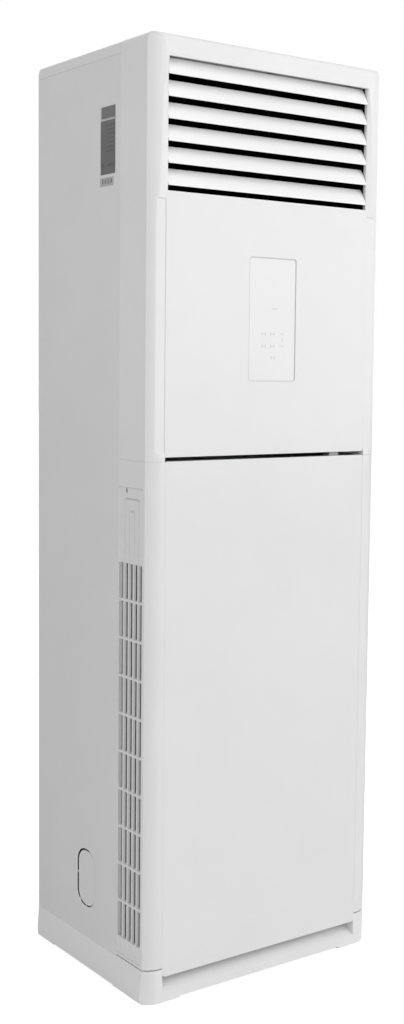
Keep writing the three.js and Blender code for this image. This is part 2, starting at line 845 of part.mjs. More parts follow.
// A horizontal blade drawn round its pivot, with end ears, a centre ear and a link arm.
function blade() {
  const half = outletHalf - 0.7;
  const chord = Math.hypot(bladeLean, bladeRise);
  const normal = [-bladeRise / chord, bladeLean / chord];
  const point = (t, off) => {
    const rise = bladeBulge * 4 * t * (1 - t) + off;
    return [
      -pivotBack + bladeLean * t + normal[0] * rise,
      -pivotUp + bladeRise * t + normal[1] * rise,
    ];
  };
  const steps = [0, 0.33, 0.67, 1];
  const section = polygon(
    ...steps.map((t) => point(t, 0)),
    ...steps.map((t) => point(t, -bladeThick)).reverse(),
  );
  const ear = polygon(
    point(0.35, -1), point(0.95, -1), [0, 4.2], [3.6, 2.4], [4.2, -1.4], [1, -4.2], [-4, -5],
  );
  const arm = polygon(
    point(0.3, -1), point(0.7, -1), [crankBack, -crankDrop + 3.4], [crankBack + 3.4, -crankDrop],
    [crankBack, -crankDrop - 3.4],
  );
  const earWall = 2.5;
  return join(
    extrude("x", section, -half, half),
    extrude("x", ear, -half, -half + earWall),
    extrude("x", ear, half - earWall, half),
    extrude("x", ear, supportX + supportWide + 1.5, supportX + supportWide + 4),
    extrude("x", arm, linkX - earWall - 0.6, linkX - 0.6),
    rod("x", 0, 0, pinRadius, half - 1, half + 3),
    rod("x", 0, 0, pinRadius, -half - 3, -half + 1),
    rod("x", 0, 0, pinRadius, supportX + 1, supportX + supportWide + 3),
    rod("x", crankBack, -crankDrop, linkPin, linkX - 1.5, linkX + linkThick + 1.5),
  );
}
const supportX = 8;
const supportWide = 6.5;
const linkX = outletHalf - 37;
const linkThick = 3;
const linkPin = 1.8;

// Upright rod that ties the blades together, drawn round the first blade's link pin.
function bladeLink() {
  const length = (bladeCount - 1) * bladePitch;
  const bar = box(linkX, linkX + linkThick, -4, 4, -length - 7, 7);
  const holes = bladeIndexes.map((i) =>
    rod("x", 0, -i * bladePitch, linkPin + pinClear, linkX - 1, linkX + linkThick + 1),
  );
  return cut(bar, ...holes);
}

// Post behind the middle of the blades, with an arm to each pivot.
function bladeSupport() {
  const postY = bladePivotY + 8;
  const arms = bladeIndexes.map((i) =>
    box(supportX, supportX + supportWide, bladePivotY - 4.2, postY + 1, bladePivotZ(i) - 3.6,
      bladePivotZ(i) + 3.6),
  );
  const holes = bladeIndexes.map((i) => pivotHole(supportX - 1, supportX + supportWide + 1, i));
  const post = box(
    supportX, supportX + supportWide, postY, postY + 8, sillTop + seat, ceilingZ - seat,
  );
  return cut(join(post, ...arms), ...holes);
}

const vaneY = ductFront + vaneBehindDuctFront;
const vaneX = (i) => (i - (vaneCount - 1) / 2) * vanePitch;
const vaneIndexes = [...Array(vaneCount).keys()];
const vanePin = 2.2;
const vaneLinkPin = 1.7;
const vaneLinkZ = sillTop + 9;
const vaneLinkThick = 4;

// An upright vane drawn round its pivot axis, its rear foot cut away over the link rod.
function vane() {
  const half = vaneThick / 2;
  const z0 = sillTop + vaneEndClear;
  const z1 = ceilingZ - vaneEndClear;
  const footTop = vaneLinkZ + vaneLinkThick + 5;
  return join(
    cut(
      box(-half, half, -vaneNose, vaneTail, z0, z1),
      box(-half - 1, half + 1, vaneLinkArm - 8, vaneTail + 1, z0 - 1, footTop),
    ),
    rod("z", 0, 0, vanePin, z1 - 4, ceilingZ + 2.5),
    rod("z", 0, 0, vanePin, sillTop - 2.5, z0 + 4),
    rod("z", 0, vaneLinkArm, vaneLinkPin, vaneLinkZ - 1, footTop + 4),
  );
}

// Rod that ties the vanes together, drawn round the first vane's link pin.
function vaneLink() {
  const length = (vaneCount - 1) * vanePitch;
  const bar = box(-8, length + 8, -4.5, 4.5, 0, vaneLinkThick);
  const holes = vaneIndexes.map((i) =>
    rod("z", i * vanePitch, 0, vaneLinkPin + pinClear, -1, vaneLinkThick + 1),
  );
  return cut(bar, ...holes);
}

function outletDuct() {
  const half = outletHalf + jambWall;
  const y1 = ductFront + ductLength;
  const wall = 3;
  const sleeve = cut(
    box(-half, half, ductFront, y1, sillTop - wall, ceilingZ + wall),
    box(-outletHalf, outletHalf, ductFront - 1, y1 + 1, sillTop, ceilingZ),
  );
  const holes = vaneIndexes.map((i) =>
    rod("z", vaneX(i), vaneY, vanePin + pinClear, sillTop - 5, ceilingZ + 5),
  );
  return cut(sleeve, ...holes);
}

// Small stepping motor with two screw lugs.
function swingMotor() {
  return join(
    rod("z", 0, 0, 13, 0, 17, 6),
    cut(
      extrude("z", roundedRect(-21, 21, -5, 5, 4.5), 0, 2, 2),
      rod("z", 17, 0, 1.8, -1, 3, 3),
      rod("z", -17, 0, 1.8, -1, 3, 3),
    ),
    box(-9, 9, -17, 0, 2, 13),
  );
}

// ---------------------------------------------------------------- heat exchanger section

function fanDeck() {
  const half = side - sheetWall - seat;
  const pinchHalf = side - 18;
  const opening = box(
    throatLeft, voluteReach, housingFrontY, housingFrontY + housingWidth, deckZ - 1, deckZ + 3,
  );
  const top = deckZ + deckThick;
  return cut(
    join(
      box(-half, half, frameRear + 2.4, backInside - sheetWall - 2 * seat, deckZ, top),
      box(-pinchHalf, pinchHalf, panFrontY - 4, frameRear + 4, deckZ, top),
    ),
    opening,
    box(-side + 10, -side + 34, pipeY[0] - 14, pipeY[1] + 12, deckZ - 1, top + 1),
  );
}

function drainPan() {
  const half = coilWidth / 2 + panSideGap;
  const z0 = deckZ + deckThick + seat;
  const spoutY = panRearY - 15;
  const spout = join(
    rod("x", spoutY, z0 + 10, 8, -half - 18, -half + 2),
    rod("z", -half - 12, spoutY, 6, z0 + 3, z0 + 10),
  );
  return cut(
    join(box(-half, half, panFrontY, panRearY, z0, z0 + panHeight), spout),
    box(
      -half + panWall, half - panWall, panFrontY + panWall, panRearY - panWall, z0 + panWall,
      z0 + panHeight + 1,
    ),
    rod("x", spoutY, z0 + 10, 5.5, -half - 20, -half + 5),
  );
}

const coilPlace = [0, coilFootY, coilFootZ];
const coilAngle = -radians(coilTilt);

function evaporatorCoil() {
  const half = coilWidth / 2;
  return box(-half, half, -coilThick / 2, coilThick / 2, 0, coilLength);
}

// Sheet end plate that carries the coil, its foot cut level with the pan's floor.
function coilEndPlate(x0, x1) {
  const margin = 5;
  const leaning = box(
    x0, x1, -coilThick / 2 - margin, coilThick / 2 + margin, -60, coilLength + margin,
  );
  const placed = leaning.rotate([-coilTilt, 0, 0]).translate(coilPlace);
  const panFloor = deckZ + deckThick + 2 * seat + panWall;
  const inPan = panRearY - panWall - seat;
  const tabZ = coilFootZ + coilLength * Math.cos(radians(coilTilt)) - 40;
  return join(
    cut(
      placed,
      box(x0 - 1, x1 + 1, -height, height, 0, panFloor),
      box(x0 - 1, x1 + 1, inPan, height, 0, panFloor + panHeight),
    ),
    box(x0, x1, 60, backInside - sheetWall - 2 * seat, tabZ, tabZ + 26),
  );
}

// Return bends brazed to the tubes outside the left end plate, joined to it.
function returnBends(x0) {
  const bendRadius = 11;
  const bends = [0.2, 0.4, 0.6, 0.8].map((share) => {
    const path = new THREE.CatmullRomCurve3(
      [0, 45, 90, 135, 180].map((a) => new THREE.Vector3(
        -Math.sin(radians(a)) * bendRadius - 2, 0, Math.cos(radians(a)) * bendRadius,
      )),
    );
    const tube = new THREE.ExtrudeGeometry(disc(0, 0, 4), {
      steps: 5, extrudePath: path, curveSegments: 3,
    });
    return solidOf(tube)
      .translate([x0 + 1, 0, share * coilLength])
      .rotate([-coilTilt, 0, 0])
      .translate(coilPlace);
  });
  return bends;
}

const pipeX = -side + 19;
const pipeEndZ = knockOutZ + 50;
const endPlateWall = 1.5;

// A copper connecting pipe from the coil's end plate down to its flare nut by the pipe entry.
function connectingPipe(y, radius, z1) {
  const plateX = -coilWidth / 2 - seat - endPlateWall - seat;
  const bend = 12;
  const arc = [0, 30, 60, 90].map((a) => new THREE.Vector3(
    pipeX + bend - bend * Math.sin(radians(a)), y, z1 - bend + bend * Math.cos(radians(a)),
  ));
  const elbow = sweep(arc, radius);
  return join(
    rod("x", y, z1, radius, pipeX + bend - 1, plateX),
    elbow,
    rod("z", pipeX, y, radius, pipeEndZ, z1 - bend + 1),
    extrude("z", disc(pipeX, y, radius + 4), pipeEndZ - 18, pipeEndZ + 6, 3),
  );
}

// A round bar along a short run of points.
function sweep(points, radius) {
  const path = new THREE.CatmullRomCurve3(points);
  return solidOf(
    new THREE.ExtrudeGeometry(disc(0, 0, radius), {
      steps: points.length, extrudePath: path, curveSegments: 4,
    }),
  );
}

// ---------------------------------------------------------------- fan section

// Scroll outline seen from the front, growing with the air's turn up to the throat.
function scroll(grow, top) {
  const shape = new THREE.Shape();
  const steps = 20;
  for (let i = 0; i <= steps; i += 1) {
    const share = i / steps;
    const angle = radians(tongueAngle + share * (360 - tongueAngle));
    const radius = volutePinch + (voluteReach - volutePinch) * share + grow;
    const x = radius * Math.cos(angle);
    const z = fanZ + radius * Math.sin(angle);
    if (i === 0) shape.moveTo(x, z);
    else shape.lineTo(x, z);
  }
  shape.lineTo(voluteReach + grow, top);
  shape.lineTo(throatLeft - grow, top);
  return shape;
}

function fanHousing() {
  const y0 = housingFrontY;
  const y1 = y0 + housingWidth;
  const top = deckZ - seat;
  return cut(
    join(
      extrude("y", scroll(housingWall, top), y0 - housingWall, y1 + housingWall),
      box(throatLeft - 10, voluteReach + 10, y0 - 10, y1 + 10, top - 2, top),
    ),
    extrude("y", scroll(0, top + 1), y0, y1),
    rod("y", 0, fanZ, inletRadius, y0 - 5, y0 + 1, 16),
    rod("y", 0, fanZ, 40, y1 - 1, y1 + 5, 6),
  );
}

// Bell mouth in the housing's inlet, drawn round the fan's axis.
function inletRing() {
  const wall = 1.5;
  const face = housingFrontY - housingWall - seat;
  const throat = inletRadius - seat - wall;
  const profile = [
    [throat + wall, -12], [throat, -12], [throat, face - housingFrontY + 0],
    [throat + 4, face - housingFrontY - 8], [throat + 14, face - housingFrontY - 12],
    [throat + 14, face - housingFrontY - 10.5], [throat + 6, face - housingFrontY - wall],
    [throat + 32, face - housingFrontY - wall], [throat + 32, face - housingFrontY],
    [throat + wall, face - housingFrontY],
  ].map(([r, y]) => new THREE.Vector2(r, y === -12 ? 8 : y));
  const ring = new THREE.LatheGeometry([...profile, profile[0]], 32);
  return positive(solidOf(ring));
}

// A lathe drawn the other way round comes out inside out, so its faces are turned.
const positive = (solid) => (solid.volume() < 0 ? turned(solid) : solid);
function turned(solid) {
  const mesh = solid.getMesh();
  const triVerts = new Uint32Array(mesh.triVerts).reverse();
  return new wasm.Manifold(
    new wasm.Mesh({ numProp: 3, vertProperties: mesh.vertProperties, triVerts }),
  );
}

// Forward curved centrifugal wheel drawn round its axis, which runs along Y.
function fanWheel() {
  const y0 = wheelFrontY;
  const y1 = y0 + wheelWidth;
  const pitch = 360 / wheelBlades;
  const blades = [...Array(wheelBlades).keys()].map((i) => {
    const at = (radius, lead) => {
      const a = radians(i * pitch + lead);
      return [radius * Math.cos(a), radius * Math.sin(a)];
    };
    const outline = polygon(
      at(wheelEye, 0), at(wheelRadius - 1, 5.4), at(wheelRadius - 1, 6.4), at(wheelEye, 1),
    );
    return extrude("y", outline, y0 + 1, y1 - 1);
  });
  const rim = cut(
    rod("y", 0, 0, wheelRadius, y0, y0 + 2.5, 12),
    rod("y", 0, 0, wheelEye - 4, y0 - 1, y0 + 4, 12),
  );
  return cut(
    join(
      rod("y", 0, 0, wheelRadius, y1 - 2.5, y1, 12),
      rim,
      rod("y", 0, 0, 22, y1 - 34, y1 + 4, 6),
      ...blades,
    ),
    rod("y", 0, 0, shaftRadius + pinClear, y1 - 40, y1 + 10, 6),
  );
}

const bracketFront = housingFrontY + housingWidth + housingWall + seat;
const bracketWall = 2;

// Folded bracket from the back panel, with a round seat for the motor.
function motorBracket() {
  const half = motorRadius + motorFlange + bracketMargin;
  const wall = bracketWall;
  const rear = backInside - seat;
  const low = fanZ - half + 9;
  const high = fanZ + half - 9;
  return cut(
    join(
      box(-half, half, bracketFront, bracketFront + wall, low, high),
      ...bothSides(box(half - wall, half, bracketFront, rear, low, high)),
      ...bothSides(box(half - wall, half + 16, rear - wall, rear, low, high)),
    ),
    rod("y", 0, fanZ, 30, bracketFront - 1, bracketFront + 5, 6),
  );
}

const motorFace = bracketFront + bracketWall + seat;
const shaftStart = wheelFrontY + wheelWidth - 32;
const shaftEnd = motorFace + 24;

// Motor drawn round the fan's axis: flange, can and front boss, bored for the shaft.
function fanMotor() {
  return cut(
    join(
      rod("y", 0, 0, motorRadius + motorFlange, motorFace, motorFace + 4, 9),
      rod("y", 0, 0, motorRadius, motorFace + 2, motorFace + motorLength, 9),
      rod("y", 0, 0, 22, motorFace - 8, motorFace + 3, 6),
    ),
    rod("y", 0, 0, shaftRadius + pinClear, motorFace - 10, shaftEnd + seat, 6),
  );
}

function fanShaft() {
  return rod("y", 0, 0, shaftRadius, shaftStart, shaftEnd, 6);
}

// ---------------------------------------------------------------- controls

const controlFront = front + controlStand;
const controlRear = controlFront + controlDeep;
const controlFoot = deckZ + deckThick + seat + panHeight + controlClear;
const controlTop = frameSplit - railHigh - seat;

function controlBox() {
  const w = controlWall;
  return cut(
    box(-controlHalf, controlHalf, controlFront, controlRear, controlFoot, controlTop),
    box(
      -controlHalf + w, controlHalf - w, controlFront - 1, controlRear - w, controlFoot + w,
      controlTop - w,
    ),
  );
}

function controlCover() {
  const y1 = controlFront - seat;
  return join(
    box(-controlHalf, controlHalf, y1 - controlWall, y1, controlFoot, controlTop),
    box(-controlHalf + 20, controlHalf - 20, y1 - controlWall - 1, y1 - 0.5, controlFoot + 20,
      controlTop - 20),
  );
}

// Board with its tall components. Their heights and rows are shares of the board's own height.
function controlBoard() {
  const y1 = controlRear - controlWall - seat;
  const left = -controlHalf + boardInset;
  const foot = controlFoot + 6;
  const tall = controlTop - 6 - foot;
  const component = (x, row, wide, high, deep) =>
    box(left + x, left + x + wide, y1 - 3 - deep, y1 - 3, foot + row * tall, foot + (row + high) * tall);
  return join(
    box(left, controlHalf - boardInset - terminalWide - boardGap, y1 - 4, y1, foot, controlTop - 6),
    component(20, 0.16, 22, 0.35, 18),
    component(55, 0.16, 30, 0.28, 26),
    component(110, 0.22, 40, 0.51, 12),
    component(160, 0.1, 18, 0.23, 22),
    component(185, 0.45, 16, 0.35, 30),
    component(30, 0.66, 60, 0.19, 9),
  );
}

function terminalBlock() {
  const y1 = controlRear - controlWall - seat;
  const right = controlHalf - boardInset;
  const left = right - terminalWide;
  const foot = controlFoot + 12;
  const count = 5;
  const pitch = (controlTop - 12 - foot) / (count + 1);
  const ways = [...Array(count).keys()].map((i) => {
    const z = foot + 4 + i * pitch;
    return box(left - 2, right - 12, y1 - 27, y1 - 14, z, z + pitch * 0.64);
  });
  return cut(box(left, right, y1 - 26, y1, foot, controlTop - 16), ...ways);
}

// ---------------------------------------------------------------- label

function ratingLabel() {
  const y0 = front + labelStand;
  const z1 = height - labelDrop;
  return box(-side - seat - 0.6, -side - seat, y0, y0 + labelWide, z1 - labelHigh, z1);
}

// ---------------------------------------------------------------- assembly

piece("base_plinth", basePlinth(), satinWhite);
piece("left_side_panel", cut(sidePanel(), knockOut()), paintedSteel);
piece("right_side_panel", mirrorX(sidePanel()), paintedSteel);
piece("back_panel", backPanel(), paintedSteel);
piece("cable_grommet", cableGrommet(), blackPlastic, [grommetX, back, grommetZ]);
piece("top_cover", topCover(), satinWhite);

piece("lower_front_frame", lowerFrontFrame(), glossWhite);
piece("upper_front_frame", upperFrontFrame(), glossWhite);
piece("lower_front_panel", lowerPanel(), glossWhite);
piece("panel_latch", panelLatch(), satinWhite);
piece("upper_front_panel", upperPanel(), glossWhite);
piece("display_window", displayWindow(), windowAcrylic);
piece("display_board", displayBoard(), boardGreen);

piece("left_intake_grille", intakeGrille(), satinWhite);
piece("right_intake_grille", mirrorX(intakeGrille()), satinWhite);
piece("left_air_filter", airFilter(), filterMesh);
piece("right_air_filter", mirrorX(airFilter()), filterMesh);

bladeIndexes.forEach((i) => {
  piece(`blade_${i + 1}`, blade(), glossWhite, [0, bladePivotY, bladePivotZ(i)]);
});
piece("blade_link", bladeLink(), blackPlastic, [
  0, bladePivotY + crankBack, bladePivotZ(0) - crankDrop,
]);
piece("blade_support", bladeSupport(), blackPlastic);

vaneIndexes.forEach((i) => {
  piece(`vane_${i + 1}`, vane(), blackPlastic, [vaneX(i), vaneY, 0]);
});
piece("vane_link", vaneLink(), blackPlastic, [vaneX(0), vaneY + vaneLinkArm, vaneLinkZ]);
piece("outlet_duct", outletDuct(), blackPlastic);
piece("swing_motor", swingMotor(), motorGrey, [vaneX(0), vaneY, ceilingZ + 3 + seat]);

const plateX = coilWidth / 2 + seat;
piece("fan_deck", fanDeck(), galvanised);
piece("drain_pan", drainPan(), foamWhite);
piece("evaporator_coil", evaporatorCoil(), finAluminium, coilPlace, coilAngle);
piece("coil_left_end_plate",
  join(coilEndPlate(-plateX - endPlateWall, -plateX), ...returnBends(-plateX - endPlateWall)),
  galvanised);
piece("coil_right_end_plate", coilEndPlate(plateX, plateX + endPlateWall), galvanised);
const [gasPipeTop, liquidPipeTop] = pipeAboveCoil.map((rise) => coilFootZ + rise);
piece("gas_pipe", connectingPipe(pipeY[0], 8, gasPipeTop), copper);
piece("liquid_pipe", connectingPipe(pipeY[1], 5, liquidPipeTop), copper);

piece("fan_housing", fanHousing(), galvanised);
piece("fan_inlet_ring", inletRing(), galvanised, [0, housingFrontY, fanZ]);
piece("fan_wheel", fanWheel(), galvanised, [0, 0, fanZ]);
piece("motor_bracket", motorBracket(), galvanised);
piece("fan_motor", fanMotor(), motorGrey, [0, 0, fanZ]);
piece("fan_shaft", fanShaft(), motorGrey, [0, 0, fanZ]);

piece("control_box", controlBox(), galvanised);
piece("control_box_cover", controlCover(), galvanised);
piece("control_board", controlBoard(), boardGreen);
piece("terminal_block", terminalBlock(), blackPlastic);
piece("rating_label", ratingLabel(), labelGrey);

export default unit;
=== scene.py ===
"""Floor standing air conditioner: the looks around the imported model.

Lengths are in millimetres while a mesh is made, and the finished mesh is in metres.
+X is to the right seen from the front, +Y to the back, +Z up, with the floor at zero.
"""

import json
import math

import bmesh
import bpy
from mathutils import Matrix, Vector


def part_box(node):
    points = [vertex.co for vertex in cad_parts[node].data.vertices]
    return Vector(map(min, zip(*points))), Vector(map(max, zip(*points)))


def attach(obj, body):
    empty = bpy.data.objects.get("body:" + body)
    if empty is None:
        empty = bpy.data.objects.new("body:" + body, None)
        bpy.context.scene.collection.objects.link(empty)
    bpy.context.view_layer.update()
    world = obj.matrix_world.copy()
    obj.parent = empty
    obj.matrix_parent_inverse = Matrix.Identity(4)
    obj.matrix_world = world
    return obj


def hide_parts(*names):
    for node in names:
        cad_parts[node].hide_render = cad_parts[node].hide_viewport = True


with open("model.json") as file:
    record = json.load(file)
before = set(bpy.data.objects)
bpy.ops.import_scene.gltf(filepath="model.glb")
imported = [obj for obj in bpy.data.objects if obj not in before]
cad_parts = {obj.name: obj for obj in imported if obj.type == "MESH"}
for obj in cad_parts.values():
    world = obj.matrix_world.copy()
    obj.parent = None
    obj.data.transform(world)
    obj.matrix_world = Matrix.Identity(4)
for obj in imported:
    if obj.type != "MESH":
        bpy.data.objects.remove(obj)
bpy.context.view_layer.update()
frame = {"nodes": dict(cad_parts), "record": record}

MM = 0.001

# ---------------------------------------------------------------- sizes from the frame


def node_box(name):
    """Lowest and highest corner of a node, in millimetres."""
    low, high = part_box(name)
    return low / MM, high / MM


upper_low, upper_high = node_box("upper_front_frame")
SIDE = upper_high.x
FRONT = upper_low.y
FRAME_REAR = upper_high.y
HEIGHT = upper_high.z

# ---------------------------------------------------------------- camera

VIEW_AZIMUTH = -36.404
VIEW_ELEVATION = 4.977
VIEW_ROLL = 0.686
CAMERA_PLACE = (-1.6753, -2.3819, 1.2194)
FOCAL_SHARE = 1.36699  # focal length over the picture's height
SENSOR = 36
PICTURE_HIGH = 1024  # pixels
SHIFT_RIGHT = 36.0 / PICTURE_HIGH
SHIFT_UP = 22.4 / PICTURE_HIGH


def make_camera():
    azimuth = math.radians(VIEW_AZIMUTH)
    elevation = math.radians(VIEW_ELEVATION)
    roll = math.radians(VIEW_ROLL)
    ahead = Vector((
        -math.sin(azimuth) * math.cos(elevation),
        math.cos(azimuth) * math.cos(elevation),
        -math.sin(elevation),
    ))
    level = Vector((math.cos(azimuth), math.sin(azimuth), 0))
    above = level.cross(ahead)
    right = level * math.cos(roll) + above * math.sin(roll)
    up = above * math.cos(roll) - level * math.sin(roll)
    turn = Matrix((right, up, -ahead)).transposed().to_4x4()
    data = bpy.data.cameras.new("camera")
    data.sensor_fit = "AUTO"
    data.sensor_width = SENSOR
    data.lens = FOCAL_SHARE * data.sensor_width
    data.shift_x = -SHIFT_RIGHT
    data.shift_y = -SHIFT_UP
    camera = bpy.data.objects.new("camera", data)
    camera.matrix_world = Matrix.Translation(CAMERA_PLACE) @ turn
    bpy.context.scene.collection.objects.link(camera)
    bpy.context.scene.camera = camera


make_camera()

# ---------------------------------------------------------------- materials

NOISE_MIDDLE = (0.3, 0.7)  # most of a noise factor lies between these
GRAIN_DEPTH = 0.0001  # metres
CLOUD_TONES = (0.985, 1.012)
GLOSS_SPREAD = (0.9, 1.12)

class Nodes:
    """A material's node tree with a Principled shader, and short calls to add to it."""

    def __init__(self, name):
        self.material = bpy.data.materials.new(name)
        self.material.use_nodes = True
        self.tree = self.material.node_tree
        self.shader = self.tree.nodes["Principled BSDF"]

    def add(self, kind, **inputs):
        node = self.tree.nodes.new(kind)
        for key, value in inputs.items():
            node.inputs[key.replace("_", " ")].default_value = value
        return node

    def link(self, source, target):
        self.tree.links.new(source, target)

    def place(self):
        """Position on the object in metres, the same in every view."""
        return self.tree.nodes.new("ShaderNodeTexCoord").outputs["Object"]

    def noise(self, scale, detail=2.0, stretch=(1, 1, 1)):
        mapping = self.add("ShaderNodeMapping", Scale=stretch)
        self.link(self.place(), mapping.inputs["Vector"])
        noise = self.add("ShaderNodeTexNoise", Scale=scale, Detail=detail)
        self.link(mapping.outputs["Vector"], noise.inputs["Vector"])
        return noise.outputs["Fac"]

    def spread(self, factor, low, high):
        """Maps the middle of a noise factor to a range."""
        node = self.add("ShaderNodeMapRange")
        node.inputs["From Min"].default_value = NOISE_MIDDLE[0]
        node.inputs["From Max"].default_value = NOISE_MIDDLE[1]
        node.inputs["To Min"].default_value = low
        node.inputs["To Max"].default_value = high
        self.link(factor, node.inputs["Value"])
        return node.outputs["Result"]

    def blend(self, factor, first, second):
        node = self.tree.nodes.new("ShaderNodeMix")
        node.data_type = "RGBA"
        self.link(factor, node.inputs["Factor"])
        node.inputs["A"].default_value = (*first, 1)
        node.inputs["B"].default_value = (*second, 1)
        return node.outputs["Result"]

    def bump(self, height, strength, distance):
        node = self.add("ShaderNodeBump", Strength=strength, Distance=distance)
        self.link(height, node.inputs["Height"])
        self.link(node.outputs["Normal"], self.shader.inputs["Normal"])

    def set(self, **inputs):
        for key, value in inputs.items():
            self.shader.inputs[key.replace("_", " ")].default_value = value


def grey(level, warm=0.0):
    return (level + warm, level, level - warm)


def moulded(name, level, roughness, grain, grain_scale=900.0):
    """Injection-moulded plastic: faint cloudiness, fine grain and uneven gloss."""
    m = Nodes(name)
    darker, lighter = [grey(level * share) for share in CLOUD_TONES]
    smoother, rougher = [roughness * share for share in GLOSS_SPREAD]
    clouds = m.spread(m.noise(7.0, 3.0), 0.0, 1.0)
    m.link(m.blend(clouds, darker, lighter), m.shader.inputs["Base Color"])
    m.link(m.spread(m.noise(55.0, 3.0), smoother, rougher), m.shader.inputs["Roughness"])
    m.bump(m.noise(grain_scale, 2.0), grain, GRAIN_DEPTH)
    m.set(IOR=1.5)
    return m


def gloss_white():
    m = moulded("gloss_white", level=0.84, roughness=0.2, grain=0.06, grain_scale=260.0)
    m.set(IOR=1.3)
    return m.material


def window_acrylic():
    m = moulded("window_acrylic", level=0.86, roughness=0.22, grain=0.02, grain_scale=200.0)
    m.set(IOR=1.3)
    return m.material


def satin_white():
    return moulded("satin_white", level=0.8, roughness=0.42, grain=0.25).material


def painted_steel():
    """Powder-coated sheet: fine orange peel over a slightly wavy surface."""
    return moulded(
        "painted_steel", level=0.78, roughness=0.4, grain=0.18, grain_scale=420.0).material


def black_plastic():
    m = moulded("black_plastic", level=0.006, roughness=0.7, grain=0.3)
    m.set(IOR=1.06)
    return m.material


def galvanised():
    m = Nodes("galvanised")
    spangle = m.add("ShaderNodeTexVoronoi", Scale=160.0)
    m.link(m.place(), spangle.inputs["Vector"])
    tone = m.add("ShaderNodeRGBToBW")
    m.link(spangle.outputs["Color"], tone.inputs["Color"])
    m.link(m.blend(tone.outputs["Val"], grey(0.5), grey(0.66)), m.shader.inputs["Base Color"])
    m.link(m.spread(tone.outputs["Val"], 0.3, 0.48), m.shader.inputs["Roughness"])
    m.set(Metallic=0.9)
    return m.material


def plain(name, colour, roughness, metallic=0.0):
    m = Nodes(name)
    clouds = m.spread(m.noise(30.0, 4.0), 0.0, 1.0)
    darker = tuple(c * 0.9 for c in colour)
    m.link(m.blend(clouds, darker, colour), m.shader.inputs["Base Color"])
    m.link(m.spread(m.noise(140.0), roughness * 0.85, roughness * 1.15),
           m.shader.inputs["Roughness"])
    m.bump(m.noise(700.0), 0.15, GRAIN_DEPTH)
    m.set(Metallic=metallic)
    return m.material


MATERIALS = {
    "gloss_white": gloss_white(),
    "satin_white": satin_white(),
    "painted_steel": painted_steel(),
    "black_plastic": black_plastic(),
    "galvanised": galvanised(),
    "window_acrylic": window_acrylic(),
    "board_green": plain("board_green", (0.03, 0.14, 0.06), 0.45),
    "filter_mesh": plain("filter_mesh", (0.1, 0.105, 0.11), 0.8),
    "fin_aluminium": plain("fin_aluminium", (0.62, 0.64, 0.66), 0.35, 0.9),
    "copper": plain("copper", (0.62, 0.27, 0.14), 0.35, 0.95),
    "motor_grey": plain("motor_grey", (0.2, 0.21, 0.22), 0.45, 0.5),
    "foam_white": plain("foam_white", (0.68, 0.69, 0.69), 0.85),
    "label_grey": plain("label_grey", (0.11, 0.11, 0.112), 0.4),
}
# Tones of the same materials for details that the frame has no slot for, and lit and shaded
# copies: the blade and base whites are lighter for painted light, and the recess greys are dark
# for painted shade.
SHADES = {
    # The blades' gloss white made lighter: painted light, for the light that their tilt and the
    # blade above take from them.
    "blade_white_painted_light": moulded("blade_white_painted_light", 0.94, 0.24, 0.06, 260.0).material,
    # The base's satin white made lighter: painted light.
    "base_white_painted_light": moulded("base_white_painted_light", 0.87, 0.4, 0.25).material,
    "icon_grey": plain("icon_grey", grey(0.62), 0.3),
    "label_pale": plain("label_pale", grey(0.5), 0.45),
    "label_block": plain("label_block", grey(0.15), 0.4),
    "label_dark": plain("label_dark", grey(0.06), 0.4),
    # Near black for the cross recesses in the screw heads: painted shade.
    "screw_recess_painted_shade": plain("screw_recess_painted_shade", grey(0.02), 0.6),
    "shaded_recess": plain("shaded_recess", grey(0.2), 0.6),
}

for part in frame["record"]["subparts"]:
    mesh = frame["nodes"][part["node"]].data
    mesh.materials.clear()
    mesh.materials.append(MATERIALS[part["material_slot"]])

# ---------------------------------------------------------------- mesh kit

SOFT_ANGLE = math.radians(34)
EPS = 0.02  # points nearer than this are one point


